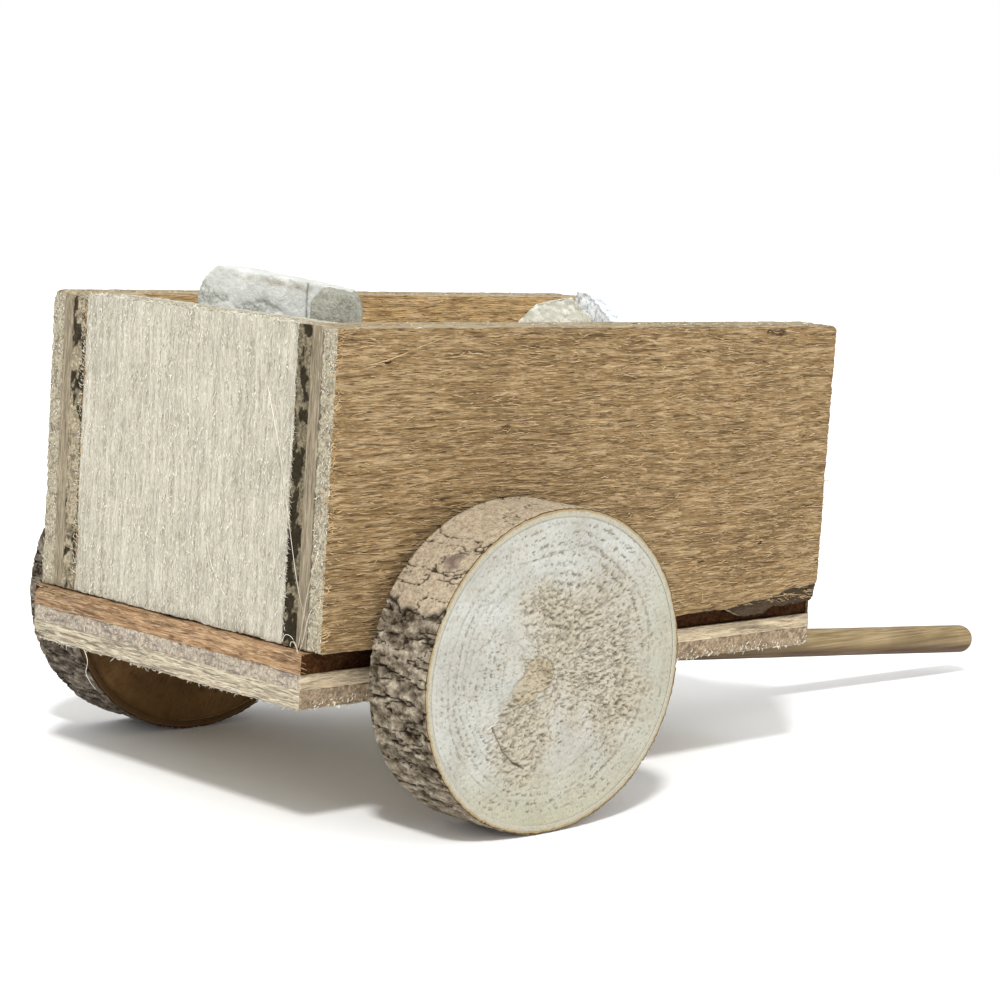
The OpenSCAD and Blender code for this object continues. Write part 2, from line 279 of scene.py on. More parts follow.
# Rotary-cut veneer, sawn and never planed: long fibres, dark pores cut open, and torn fibres, with a
# painted highlight on their raised backs and painted shade in the hollows between them.
def longGrain(name, look):
    made, tree, place = startMaterial(name, 0.88, 0.18)
    relief = painted(tree, "relief")
    wander = addNode(tree, "TexNoise", {"Scale": 1000 / 9, "Detail": 2}, {"Vector": place})
    shift = addNode(tree, "VectorMath", {"operation": "MULTIPLY_ADD", 1: [0.5 * mm] * 3},
                    {0: wander.outputs["Color"], 2: place})
    layers = {}
    for layer, (along, across, detail) in {  # mm; pores are drawn coarser than real ones, to show
        "streak": (38, look.get("streakWide", 1.5), 4),
        "fibre": (look.get("fibreLong", 5.5), 0.24, 3),
        "pore": (3.2, 0.19, 1),
        "fleck": (look.get("fleckLong", 3.6), 0.26, 2),
    }.items():
        scaled = addNode(tree, "Mapping", {"Scale": stretched(along, across, look["axis"])},
                         {"Vector": shift.outputs[0]})
        layers[layer] = addNode(tree, "TexNoise", {"Scale": 1, "Detail": detail, "Roughness": 0.62},
                                {"Vector": scaled.outputs[0]}).outputs["Fac"]
    cloud = addNode(tree, "TexNoise", {"Scale": 1000 / 18, "Detail": 3}, {"Vector": place})
    base = addNode(tree, "ValToRGB", {"stops": list(zip((0.3, 0.5, 0.7), look["tones"]))},
                   {"Fac": layers["streak"]})
    colour = darkened(tree, base.outputs[0], (
        (layers["fibre"], 0.38, look["fibreDark"], 0.47),
        (cloud.outputs["Fac"], 0.36, look.get("cloudDark", 0.86), 0.64),
        # painted shade: darker where the mesh lies deep between torn fibres
        (relief[0], 0.16, look.get("hollowShadeDark", 0.62), 0.46),
    ))
    fleckAt, poreAt = look.get("fleckAt", 0.56), look.get("poreAt", 0.63)
    colour = spotted(tree, colour, (
        (layers["fleck"], fleckAt, fleckAt + 0.05, look.get("fleckShare", 0.5), look["fleckHex"]),
        # painted highlight: lighter on the raised backs of torn fibres
        (relief[0], 0.72, 0.88, look.get("ridgeHighlightShare", 0.3), look["fleckHex"]),
        (layers["pore"], poreAt, poreAt + 0.06, look.get("poreShare", 0.7), look["poreHex"]),
        # dirt, and painted shade where a piece's pattern carries it, as under the near side's torn line
        (relief[1], 0.3, 0.8, 0.9, look.get("dirtAndShadeHex", look["poreHex"])),
    ))
    raised = addNode(tree, "Math", {"operation": "MULTIPLY_ADD", 1: 0.8},
                     {0: layers["fleck"], 2: layers["fibre"]})
    return surfaced(made, colour, raised.outputs[0], look.get("bump", 0.9), 0.35)


# End grain left by a saw: open pores as dark specks, pale walls, and now and then a void or a stain.
# Real pores are about 0.1 mm across, too fine to show, so the specks are drawn at 0.5 mm.
def endGrain(name, look):
    made, tree, place = startMaterial(name, 0.95, 0.1)
    relief = painted(tree, "relief")
    specks = addNode(tree, "TexNoise", {"Scale": 1000 / 0.5, "Detail": 3, "Roughness": 0.7},
                     {"Vector": place}).outputs["Fac"]
    cells = addNode(tree, "TexVoronoi", {"Scale": 1000 / 0.55}, {"Vector": place})
    size = look.get("stain", 4.5)
    seam = addNode(tree, "Mapping", {"Scale": stretched(size * look.get("stainLong", 1), size, "Y")},
                   {"Vector": place})
    stains = addNode(tree, "TexNoise", {"Scale": 1, "Detail": 5, "Roughness": 0.7},
                     {"Vector": seam.outputs[0]})
    base = addNode(tree, "ValToRGB", {"stops": list(zip((0.32, 0.5, 0.66), look["tones"]))},
                   {"Fac": specks})
    # painted shade: darker down in the pits of the end grain
    colour = darkened(tree, base.outputs[0], [(relief[0], 0.1, 0.6, 0.6)])
    start, end = look["stainAt"], look["stainAt"] + look.get("stainSoft", 0.14)
    colour = spotted(tree, colour, (
        (cells.outputs["Distance"], 0.26, 0.08, 0.55, look["holeHex"]),
        (stains.outputs["Fac"], start, end, look["stainShare"], look["stainHex"]),
        # stains and dark holes, and painted shade in a joint's gap, where a piece's pattern gives them
        (relief[1], 0.3, 0.8, 0.9, look["stainHex"]),
    ))
    return surfaced(made, colour, specks, 0.9, 0.3)


def woodSet(stem, face, edge, end):  # one veneer: its faces, its long edges and its end grain
    return [longGrain(stem + "Face", face), longGrain(stem + "Edge", edge), endGrain(stem + "End", end)]


boards = {  # mm
    "edgeRadius": 0.3,
    "faceDepth": 0.3,  # from the back of a torn fibre down to the hollow beside it
    "edgeDepth": 0.14,
    "endDepth": 0.26,
    "edgeWear": 0.22,
    "step": 0.8,  # mesh spacing where nobody looks closely
    "fibreLong": 6.0,  # the bumps that torn fibres make
    "fibreWide": 0.42,
    "wander": 0.7,  # how far they stray off the grain, and over what length
    "wanderLong": 13,
    "pitWide": 0.75,  # pits in end grain
    "farCorner": 1.7,  # the far side's upper front corner
    "cornerWear": 3.0,  # the base's far front corner
    "cornerRound": 1.7,  # how far the same corner is worn back at its top and bottom edges
    "recess": 1.3,  # how far the base's top veneer has crumbled back under the near side
}
# the near side's lower edge as it broke: where the face veneer ends, and the torn strip below it
faceEdge = [(-40, 29.05), (-26.9, 28.56), (-22.7, 28.76), (-18.5, 28.87), (-13.2, 28.72), (-9.5, 29.32),
            (-4.6, 29.67), (0.4, 29.84), (2.5, 30.94), (5.3, 31.1), (11, 31.61)]
stripEdge = [(-40, 29.05), (-26.9, 28.56), (-13, 28.6), (-12.2, 28.34), (-9.3, 27.06), (-6, 26.98),
             (-2.7, 27.08), (-0.6, 28.17), (3.3, 28.23), (7.2, 28.3), (11, 28.57)]


def ticks(length, step, rim):  # places along a side, closer together at its two ends
    rim = min(rim, length / 4)
    count = max(2, int(round((length - 2 * rim) / step)))
    inner = np.linspace(rim, length - rim, count + 1)
    return np.concatenate([[0, rim * 0.35], inner, [length - rim * 0.35, length]])


def boxSkin(low, high, steps, roundLow, roundHigh, marks):
    # the outside of a box as a closed grid: its points, outward directions, faces and each face's axis
    marks = [marks.get(a, ticks(high[a] - low[a], steps[a], 0.45)) for a in range(3)]
    shape = [len(m) for m in marks]
    grid = np.stack(np.meshgrid(*[np.arange(n) for n in shape], indexing="ij"), -1)
    outside = np.zeros(shape, bool)
    for a in range(3):
        outside |= (grid[..., a] == 0) | (grid[..., a] == shape[a] - 1)
    number = np.full(shape, -1)
    number[outside] = np.arange(outside.sum())
    points = np.stack([low[a] + marks[a][grid[..., a][outside]] for a in range(3)], -1)
    faces, axes = [], []
    for a in range(3):
        for end in (0, shape[a] - 1):
            sheet = np.take(number, end, axis=a)
            quads = np.stack([sheet[:-1, :-1], sheet[1:, :-1], sheet[1:, 1:], sheet[:-1, 1:]], -1)
            quads = quads.reshape(-1, 4)
            flip = (end == 0) != (a == 1)
            faces.append(quads[:, ::-1] if flip else quads)
            axes.append(np.full(len(quads), a))
    core = np.clip(points, low + roundLow, high - roundHigh)
    gap = points - core
    radius = np.where(gap < 0, roundLow, roundHigh)
    away = gap / np.maximum(radius, 1e-6)
    away /= np.maximum(np.linalg.norm(away, axis=1, keepdims=True), 1e-9)
    return core + away * radius, away, np.concatenate(faces), np.concatenate(axes)


def makePly(node, slot, wood, thick, grain, glued, seed, steps=None, reshape=None, marks=None, dirtAndShade=None):
    low, high = boxOf(node)
    radius = boards["edgeRadius"]
    roundLow, roundHigh = np.full(3, radius), np.full(3, radius)
    if glued in ("low", "both"):
        roundLow[thick] = 0
    if glued in ("high", "both"):
        roundHigh[thick] = 0
    steps = steps or [boards["step"]] * 3
    points, away, faces, axes = boxSkin(low, high, steps, roundLow, roundHigh, marks or {})
    grid = points.copy()
    # torn fibres: long bumps that wander a little off the grain
    across = [a for a in range(3) if a != grain]
    bent = grid.copy()
    for a in across:
        bent[:, a] += boards["wander"] * roughNoise(grid, [boards["wanderLong"]] * 3, seed + 60 + a, 2)
    sizes = np.full(3, boards["fibreWide"])
    sizes[grain] = boards["fibreLong"]
    fibre = 0.5 + 0.6 * roughNoise(bent, sizes, seed, 3)
    fibre = np.clip(fibre + 0.16 * roughNoise(grid, [7, 7, 7], seed + 3, 2), 0, 1)
    pits = bumps(0.45, grid, [boards["pitWide"]] * 3, seed + 5, 3)
    share = away ** 2
    other = [a for a in across if a != thick]
    edgeShare = share[:, other].sum(axis=1) if thick != grain else 0
    relief = fibre * (share[:, thick] + edgeShare) + pits * share[:, grain]
    deep = boards["faceDepth"] * share[:, thick] + boards["edgeDepth"] * edgeShare
    deep += boards["endDepth"] * share[:, grain]
    gaps = np.stack([points - low, high - points])
    gaps[0][:, thick] += 99 if glued in ("low", "both") else 0
    gaps[1][:, thick] += 99 if glued in ("high", "both") else 0
    gaps = np.sort(gaps.min(axis=0), axis=1)
    wear = np.exp(-np.maximum(gaps[:, 1], 0) / 0.5) * boards["edgeWear"]  # fades within 0.5 mm of an edge
    depth = deep * (1 - relief) + wear * smooth(roughNoise(grid, [2.4, 2.4, 2.4], seed + 9), 0, 0.9)
    points = points - away * np.maximum(depth, 0)[:, None]
    if reshape is not None:
        points = reshape(points, grid, away, low, high)
    which = np.where(axes == thick, 0, np.where(axes == grain, 2, 1))
    piece = newPiece(node + "_wood", points, faces.tolist(), wood, which)
    inside = np.linalg.norm(away, axis=1) < 0.5
    paint(piece, "relief", np.where(inside, 0.6, relief), dirtAndShade(grid, away) if dirtAndShade is not None else 0)
    return standIn(piece, "cart_box", slot, node)


def breakNearSide(points, grid, away, low, high):
    # the outer skin ends at one torn line, and a thinner strip hangs on below it
    x, offset = grid[:, 0], grid[:, 1] - low[1]
    ragged = 0.16 * roughNoise(grid * [1, 0, 0] + 0.5, [1.1, 1, 1], 5, 3)
    top = np.interp(x, *zip(*faceEdge)) + ragged * smooth(x, -30, -14)
    bottom = np.interp(x, *zip(*stripEdge)) + 1.5 * ragged * smooth(x, -30, -14)
    bottom = np.minimum(bottom, top)
    step = smooth(offset, 0.79, 0.87)
    edge = top * (1 - step) + bottom * step
    edge = np.where(offset > 2.4, low[2], edge)
    height = high[2] - low[2]
    moved = points.copy()
    moved[:, 2] = edge + (points[:, 2] - low[2]) * (high[2] - edge) / height
    # the skin thins towards its torn line, unevenly
    above = moved[:, 2] - top
    lift = smooth(x, -14, -4) * np.exp(-np.maximum(above, 0) / 0.9) * (1 - smooth(offset, 0.5, 0.8))
    moved[:, 1] += lift * (0.25 + 0.3 * latticeNoise(grid * [0.5, 0, 0], 8))
    flank = (offset > 0.7) & (offset < 1) & (grid[:, 2] < low[2] + 0.5)
    moved[:, 1] += np.where(flank, 0.35 * latticeNoise(grid * [0.8, 0, 0] + moved * [0, 0, 0.9], 9), 0)
    # the upper rear corner is worn round
    return roundCorner(moved, high[0], high[2], 1.4, 0, 2, 1, 1)


def roundCorner(points, u, v, radius, a, b, signA, signB):  # a plate's corner, at u, v on axes a, b
    centre = np.array([u - signA * radius, v - signB * radius])
    du, dv = (points[:, a] - centre[0]) * signA, (points[:, b] - centre[1]) * signB
    inside = (du > 0) & (dv > 0)
    longest = np.maximum(du, dv)
    shrink = np.where(inside, longest / np.maximum(np.hypot(du, dv), 1e-9), 1)
    moved = points.copy()
    moved[:, a] = np.where(inside, centre[0] + du * shrink * signA, moved[:, a])
    moved[:, b] = np.where(inside, centre[1] + dv * shrink * signB, moved[:, b])
    return moved


def wearBase(points, grid, away, low, high):
    worn = roundCorner(points, low[0], high[1], boards["cornerWear"], 0, 1, -1, 1)
    bottom, top = boxOf("base_bottom_ply")[0][2], boxOf("base_top_ply")[1][2]
    fromMiddle = np.abs(worn[:, 2] - (bottom + top) / 2) / (top - bottom) * 2  # 0 to 1
    atCorner = np.maximum(-away[:, 0], 0) * smooth(grid[:, 1], high[1] - 11, high[1] - 1)
    worn[:, 0] += boards["cornerRound"] * atCorner * np.clip(fromMiddle * 2 - 1, 0, 1) ** 2
    if high[2] > 28:  # the top veneer has crumbled back under the near side's overhang
        near = np.maximum(-away[:, 1], 0) * smooth(grid[:, 0], -106, -98)
        crumble = 0.75 + 0.35 * roughNoise(grid, [3, 9, 1.2], 83, 3)
        worn[:, 1] += near * boards["recess"] * np.clip(crumble, 0.3, 1.4)
    if low[2] < 21:  # and the bottom one is frayed along its lower edges
        foot = np.maximum(-away[:, 2], 0) * np.maximum(np.abs(away[:, 0]), np.abs(away[:, 1]))
        worn[:, 2] += foot * 0.5 * (1 + roughNoise(grid, [0.8, 0.8, 9], 84, 2))
    return worn


# A loose wood fibre is nearly white and catches the light, so it shows brighter than the wood under it.
# Real ones are 0.03 mm thick, too fine to show, so these are drawn as thicker tubes.
def looseFibre(name, pale, dark):
    made, tree, place = startMaterial(name, 0.7, 0.3)
    tint = addNode(tree, "TexNoise", {"Scale": 1000 / 2.5, "Detail": 1}, {"Vector": place})
    base = addNode(tree, "ValToRGB", {"stops": [(0.35, dark), (0.6, pale)]}, {"Fac": tint.outputs["Fac"]})
    tree.links.new(base.outputs[0], tree.nodes["Principled BSDF"].inputs["Base Color"])
    return made


def fibreTubes(name, slot, material, paths, radius):  # paths: fibres by rings by xyz; radius: one a fibre
    count, rings, _ = paths.shape
    along = np.gradient(paths, axis=1)
    along /= np.maximum(np.linalg.norm(along, axis=2, keepdims=True), 1e-9)
    helper = np.where(np.abs(along[..., 2:]) > 0.8, [1.0, 0, 0], [0, 0, 1.0])
    side = np.cross(along, helper)
    side /= np.linalg.norm(side, axis=2, keepdims=True)
    up = np.cross(side, along)
    taper = radius[:, None] * (1 - 0.7 * np.linspace(0, 1, rings))[None, :]
    corners = []
    for k in range(3):
        angle = math.tau * k / 3
        corners.append(paths + taper[..., None] * (math.cos(angle) * side + math.sin(angle) * up))
    points = np.stack(corners, axis=2).reshape(-1, 3)
    index = np.arange(count * rings * 3).reshape(count, rings, 3)
    a, b = index[:, :-1], index[:, 1:]
    quads = np.stack([a, b, np.roll(b, -1, 2), np.roll(a, -1, 2)], -1).reshape(-1, 4).tolist()
    caps = np.concatenate([index[:, 0], index[:, -1, ::-1]]).tolist()
    piece = newPiece(name, points, quads + caps, [material])
    return standIn(piece, "cart_box", slot)


def fuzz(name, slot, material, kind, seed, count, low, high, run, lift, **changes):
    # short fibres over a patch: they run mostly one way, lift off, and curl
    look = dict(kind, **changes)
    rng = np.random.default_rng(seed)
    low, high, lift = np.array(low, float), np.array(high, float), np.array(lift, float)
    roots = low + rng.random((count, 3)) * (high - low)
    run = np.array(run, float) * np.where(rng.random(count) < 0.5, -1, 1)[:, None]
    run = run + look["spread"] * rng.normal(size=(count, 3))
    run -= np.outer(run @ lift, lift)
    run /= np.linalg.norm(run, axis=1, keepdims=True)
    side = np.cross(run, lift)
    length = rng.uniform(*look["length"], count)
    rise = rng.uniform(*look["rise"], count)
    bend = rng.normal(0, look["bend"], count)
    t = np.linspace(0, 1, 5)[None, :, None]
    paths = roots[:, None] + run[:, None] * length[:, None, None] * t
    paths = paths + lift * rise[:, None, None] * np.sin(t * 2.6)
    paths = paths + side[:, None] * bend[:, None, None] * t * t
    radius = rng.uniform(*look["radius"], count)
    paths = np.clip(paths, insideLow + 0.15, insideHigh - 0.15)
    return fibreTubes(name, slot, material, paths, radius)


def hairs(name, slot, material, lines, radius):  # long loose hairs, each through its own points
    paths = []
    for line in lines:
        knots = np.array(line, float)
        t = np.linspace(0, len(knots) - 1, 24)
        curve = np.stack([np.interp(t, np.arange(len(knots)), knots[:, a]) for a in range(3)], -1)
        for _ in range(6):
            curve[1:-1] = (curve[:-2] + 2 * curve[1:-1] + curve[2:]) / 4
        paths.append(curve)
    return fibreTubes(name, slot, material, np.array(paths), np.full(len(lines), radius))


wheels = {  # mm, and places are from the axle, along X and Z
    "radius": 27,  # about, with the bark: the mesh steps and the bark's pattern are laid out on it
    "innerRings": 26,  # mesh rings on the face that looks under the cart
    "pith": (-5.6, 0.2),
    "pithLobes": ((-3.9, 1.0, 3.3, 2.8), (-6.7, -1.3, 2.9, 2.2)),  # place and radii
    # where the saw tore the face: place and radii
    "torn": ((6.0, 4.0, 14.5, 12.5), (-7.0, -8.5, 7.5, 8.0), (-2.0, 11.5, 7.0, 5.0),
             (13.0, -3.0, 9.0, 9.0)),
    "tornDeep": 0.42,
    "pitDeep": 0.24,
    "grainDeep": 0.07,
    "faceStep": 0.2,
    "rimRound": 0.05,
    # rings of dark pores: share of the way out to the rim, strength, and which side, 0 for all round
    "dottedRings": ((0.77, 1.0, -1), (0.83, 0.8, 1), (0.66, 0.5, 0), (0.71, 0.6, -1), (0.84, 0.5, -1),
                    (0.58, 0.5, -1)),
    "rings": 17,  # growth rings from the pith to the bark
    "saw": 0.02,  # how deep the saw and the rings mark the face, and how deep cracks and scratches go
    "crackDeep": 0.45,
    "scratchDeep": 0.12,
    "barkDeep": 0.85,
    "barkStep": 0.22,
    # degrees round from the drawbar's side: where a smooth stretch starts, is full, starts to end, ends
    "youngBark": (40, 56, 152, 155),
    "lowBark": (228, 246, 300, 320),
    "seamAt": 155,  # the deep crack at the end of the young bark
    "stainAt": (137, 4),  # a dark stain: degrees round, and mm from the near cut
}


def outline(node, axle):  # the CAD outline's radius at any angle
    cad = meshPoints(node)
    dx, dz = cad[:, 0] - axle[0], cad[:, 2] - axle[1]
    best = {}
    for a, r in zip(np.round(np.arctan2(dz, dx), 3), np.hypot(dx, dz)):
        if r > 20:
            best[a] = max(best.get(a, 0), r)
    a = np.array(sorted(best))
    r = np.array([best[x] for x in a])
    return lambda t: np.interp((t + math.pi) % math.tau - math.pi, a, r, period=math.tau)


def lineMask(x, z, line, width):  # 1 on a line through the given places, fading to 0 at width
    best = np.full(len(x), 99.0)
    for (x0, z0), (x1, z1) in zip(line, line[1:]):
        dx, dz = x1 - x0, z1 - z0
        t = np.clip(((x - x0) * dx + (z - z0) * dz) / (dx * dx + dz * dz), 0, 1)
        best = np.minimum(best, np.hypot(x - x0 - t * dx, z - z0 - t * dz))
    return np.clip(1 - best / width, 0, 1)


def blobs(x, z, places, wobble):  # 1 well inside any of the ellipses, 0 outside all of them
    inside = np.zeros(len(x))
    for cx, cz, rx, rz in places:
        inside = np.maximum(inside, 1.25 - np.hypot((x - cx) / rx, (z - cz) / rz))
    return smooth(inside + wobble, -0.15, 0.85)


def makeWheel(side, faceMaterial, shadeMaterial, barkMaterials, seed, step, cracks, scratches):
    axleLow, axleHigh = boxOf("axle")
    axle = ((axleLow[0] + axleHigh[0]) / 2, (axleLow[2] + axleHigh[2]) / 2)
    disc, bark = side + "_wheel_disc", side + "_wheel_bark"
    low, high = boxOf(disc)
    outward = -1 if side == "near" else 1
    wall = outline(disc, axle)
    turns = int(math.tau * wheels["radius"] / step)
    theta = np.arange(turns) * math.tau / turns
    edge = wall(theta)
    outerY, innerY = (low[1], high[1]) if outward < 0 else (high[1], low[1])
    points, faces, slots, rims = [], [], [], []
    cuts = ((outerY, outward, 0, int(wheels["radius"] / step)), (innerY, -outward, 1, wheels["innerRings"]))
    for y, sign, slot, count in cuts:
        start = sum(len(p) for p in points)
        points.append(np.array([[axle[0], y, axle[1]]]))
        shares = np.arange(1, count + 1) / count
        r = shares[:, None] * edge[None, :]
        flat = [axle[0] + r * np.cos(theta), np.full(r.shape, y), axle[1] + r * np.sin(theta)]
        points.append(np.stack(flat, -1).reshape(-1, 3))
        index = start + 1 + np.arange(count * turns).reshape(count, turns)
        a, b = index[:-1], index[1:]
        quads = np.stack([a, np.roll(a, -1, 1), np.roll(b, -1, 1), b], -1).reshape(-1, 4)
        fan = np.stack([np.full(turns, start), np.roll(index[0], -1), index[0]], -1)
        if sign > 0:
            faces += quads.tolist() + fan.tolist()
        else:
            faces += quads[:, ::-1].tolist() + fan[:, ::-1].tolist()
        slots += [slot] * (len(quads) + turns)
        rims.append(index[-1])
    a, b = rims
    quads = np.stack([a, np.roll(a, -1), np.roll(b, -1), b], -1)
    faces += (quads if outward < 0 else quads[:, ::-1]).tolist()
    slots += [0] * turns
    points = np.concatenate(points)
    x, z = points[:, 0] - axle[0], points[:, 2] - axle[1]
    wobble = 0.25 * roughNoise(points, [3, 9, 3], seed + 8, 3)
    torn = blobs(x, z, wheels["torn"], wobble)
    inPith = np.full(len(x), -9.0)
    for cx, cz, rx, rz in wheels["pithLobes"]:
        inPith = np.maximum(inPith, 1 - np.hypot((x - cx) / rx, (z - cz) / rz))
    inPith += 0.05 * roughNoise(points, [1.5, 9, 1.5], seed + 4, 2)
    px, pz = wheels["pith"]
    fromPith, turn = np.hypot(x - px, z - pz), np.arctan2(z - pz, x - px)
    rimTurn = np.arctan2(edge * np.sin(theta) - pz, edge * np.cos(theta) - px)
    rimAway = np.hypot(edge * np.cos(theta) - px, edge * np.sin(theta) - pz)
    order = np.argsort(rimTurn)
    out = fromPith / np.interp(turn, rimTurn[order], rimAway[order], period=math.tau)
    ringPhase = out * wheels["rings"] + 0.35 * latticeNoise(points / 6, seed + 2)
    ringWave = 0.5 + 0.5 * np.sin(math.tau * ringPhase)
    lumps = bumps(0.8, points, [0.95, 9, 0.5], seed, 3)
    grain = bumps(0.5, points, [0.6, 9, 0.4], seed + 1, 2)
    lines = np.zeros(len(x))
    for line in cracks:
        lines = np.maximum(lines, lineMask(x, z, line, 0.26))
    hair = np.zeros(len(x))
    for line in scratches:
        hair = np.maximum(hair, lineMask(x, z, line, 0.2))
    dots = 0.5 + 0.5 * latticeNoise(points / [0.4, 9, 0.4], seed + 12)
    dotted = np.zeros(len(x))
    for place, strength, half in wheels["dottedRings"]:
        arc = np.exp(-((out - place + 0.012 * latticeNoise(points / 7, seed + 5)) / 0.011) ** 2) * strength
        if half:
            arc = arc * smooth(half * (x - px), 3, 10)
        dotted = np.maximum(dotted, arc * smooth(dots, 0.35, 0.6))
    # short pits where the saw pulled fibres out, thick in the torn middle and in rows along the rings
    rows = smooth(ringWave + 0.8 * latticeNoise(points / 5, seed + 22), 0.7, 1.3)
    pits = smooth(roughNoise(points, [0.62, 9, 0.34], seed + 20, 2), 0.16, 0.4)
    pits = pits * np.clip(0.3 + 0.55 * torn + 0.6 * rows, 0, 1)
    depth = wheels["pitDeep"] * pits + wheels["tornDeep"] * (1 - lumps) * torn
    depth = depth + wheels["grainDeep"] * (1 - grain) * (1 - 0.6 * torn)
    depth += wheels["saw"] * ringWave + 0.1 * dotted
    depth += wheels["crackDeep"] * lines + wheels["scratchDeep"] * hair
    depth += 0.1 * (0.5 + 0.5 * roughNoise(points, [16, 16, 16], seed + 3, 2))
    depth += np.where(inPith > 0, 0.1 * grain, 0) + 0.1 * np.exp(-(inPith / 0.06) ** 2)
    rim = np.hypot(x, z) / wall(np.arctan2(z, x))
    depth = depth * (1 - 0.85 * smooth(rim, 0.93, 1.0)) + wheels["rimRound"] * smooth(rim, 0.986, 1.0)
    depth = np.maximum(depth, 0)
    isOuter = np.abs(points[:, 1] - outerY) < 1e-6
    points[:, 1] += np.where(isOuter, -outward, outward) * np.where(isOuter, depth, 0.2 * (1 - grain))
    piece = standIn(newPiece(disc + "_wood", points, faces, [faceMaterial, shadeMaterial], slots),
                    "wheelset", "wheel_wood", disc)
    pithEdge = np.exp(-(inPith / 0.05) ** 2) * 0.55
    dark = np.maximum.reduce([lines, hair * 0.35, dotted * 0.6, pithEdge, 0.5 * pits])
    dark = np.clip(dark + 0.12 * (ringWave > 0.86), 0, 1)
    height = lumps * torn + (0.62 + 0.25 * (grain - 0.5)) * (1 - torn)
    paint(piece, "relief", np.clip(height, 0, 1), torn, dark)
    green = smooth(-z, 8, 24) + 0.6 * smooth(x, 12, 28)
    paint(piece, "tint", np.clip(green, 0, 1), smooth(inPith, 0, 0.1), ringWave)
    makeBark(bark, axle, wall, barkMaterials, seed + 40, outward)


def makeBark(node, axle, wall, materials, seed, outward):
    low, high = boxOf(node)
    skin = outline(node, axle)
    turns = int(math.tau * wheels["radius"] / wheels["barkStep"])
    theta = np.arange(turns) * math.tau / turns
    across = int((high[1] - low[1]) / wheels["barkStep"])
    # the cross-section: 0 to 1 through the bark's thickness, and the place along the axle
    steps = (0.0, 0.2, 0.35, 0.5, 0.6, 0.7, 0.8, 0.9, 0.97)
    section = [(s, low[1]) for s in steps]
    section += [(1.0, y) for y in np.linspace(low[1] + 0.1, high[1] - 0.1, across)]
    section += [(s, high[1]) for s in reversed(steps)]
    count = len(section)
    inner, outer = wall(theta), skin(theta)
    s, y = np.tile(np.array(section), (turns, 1)).T
    t = np.repeat(theta, count)
    r = np.repeat(inner, count) + s * np.repeat(outer - inner, count)
    degrees = np.degrees(t)
    place = np.stack([np.cos(t) * wheels["radius"], y, np.sin(t) * wheels["radius"]], -1)
    # a stretch of smooth young bark, a crack, then coarse bark, and smoother bark again below
    border = 5 * roughNoise(place, [3, 3.5, 3], seed, 3)
    start, full, fade, end = wheels["youngBark"]
    young = smooth(degrees + border, start, full) * (1 - smooth(degrees + border, fade, end))
    start, full, fade, end = wheels["lowBark"]
    below = smooth(degrees + 2 * border, start, full) * (1 - smooth(degrees + border, fade, end))
    calm = np.maximum(young, 0.7 * below)
    ridges = 1 - np.abs(roughNoise(place, [1.7, 6.5, 1.7], seed + 1, 4))
    fissure = smooth(ridges, 0.86, 0.97)
    plates = bumps(0.8, place, [0.9, 2.0, 0.9], seed + 2, 4)
    grit = bumps(0.5, place, [0.55, 0.8, 0.55], seed + 3, 2)
    coarse = wheels["barkDeep"] * (0.4 * fissure + 0.4 * (1 - plates) + 0.2 * (1 - grit))
    thin = smooth(1 - np.abs(roughNoise(place, [2.4, 8, 2.4], seed + 7, 5)), 0.9, 0.96)
    fine = 0.16 * (1 - plates) + 0.1 * (1 - grit) + 0.3 * thin
    seam = np.exp(-((degrees + border - wheels["seamAt"]) / 0.9) ** 2)
    depth = (coarse * (1 - calm) + fine * calm) * smooth(s, 0.6, 1.0) + 0.55 * seam * smooth(s, 0.5, 1.0)
    depth = np.maximum(depth * (1 - 0.45 * np.exp(-np.minimum(y - low[1], high[1] - y) / 0.7)), 0)
    rough = 0.12 * (0.5 + 0.5 * roughNoise(place, [0.9, 9, 0.9], seed + 6, 2)) * smooth(s, 0.4, 0.9)
    r = r - depth
    y = y + np.where(y < (low[1] + high[1]) / 2, 1, -1) * rough * (s < 0.99)
    points = np.stack([axle[0] + r * np.cos(t), y, axle[1] + r * np.sin(t)], -1)
    index = np.arange(turns * count).reshape(turns, count)
    nextTurn, nextStep = np.roll(index, -1, axis=0), np.roll(index, -1, axis=1)
    both = np.roll(nextTurn, -1, axis=1)
    quads = np.stack([index, nextStep, both, nextTurn], -1).reshape(-1, 4)
    slot = np.zeros(count, int)  # 0 on the tread, 1 on the outer cut, 2 on the inner one
    slot[:len(steps) - 1] = 1 if outward < 0 else 2
    slot[len(steps) + across:] = 2 if outward < 0 else 1
    piece = newPiece(node + "_skin", points, quads.tolist(), materials, np.tile(slot, turns))
    stainTurn, stainIn = wheels["stainAt"]
    stain = np.exp(-((degrees - stainTurn) / 5) ** 2 - ((y - low[1] - stainIn) / 2.6) ** 2)
    stain = smooth(stain + 0.35 * roughNoise(place, [1.5, 2, 1.5], seed + 9, 3), 0.35, 0.8) * young
    cracks = np.clip(np.maximum.reduce([fissure * (1 - calm), 0.9 * thin * calm, seam]), 0, 1)
    paint(piece, "relief", calm, cracks, np.clip(plates * 0.7 + grit * 0.3, 0, 1))
    paint(piece, "tint", s, stain, young)
    standIn(piece, "wheelset", "bark", node)


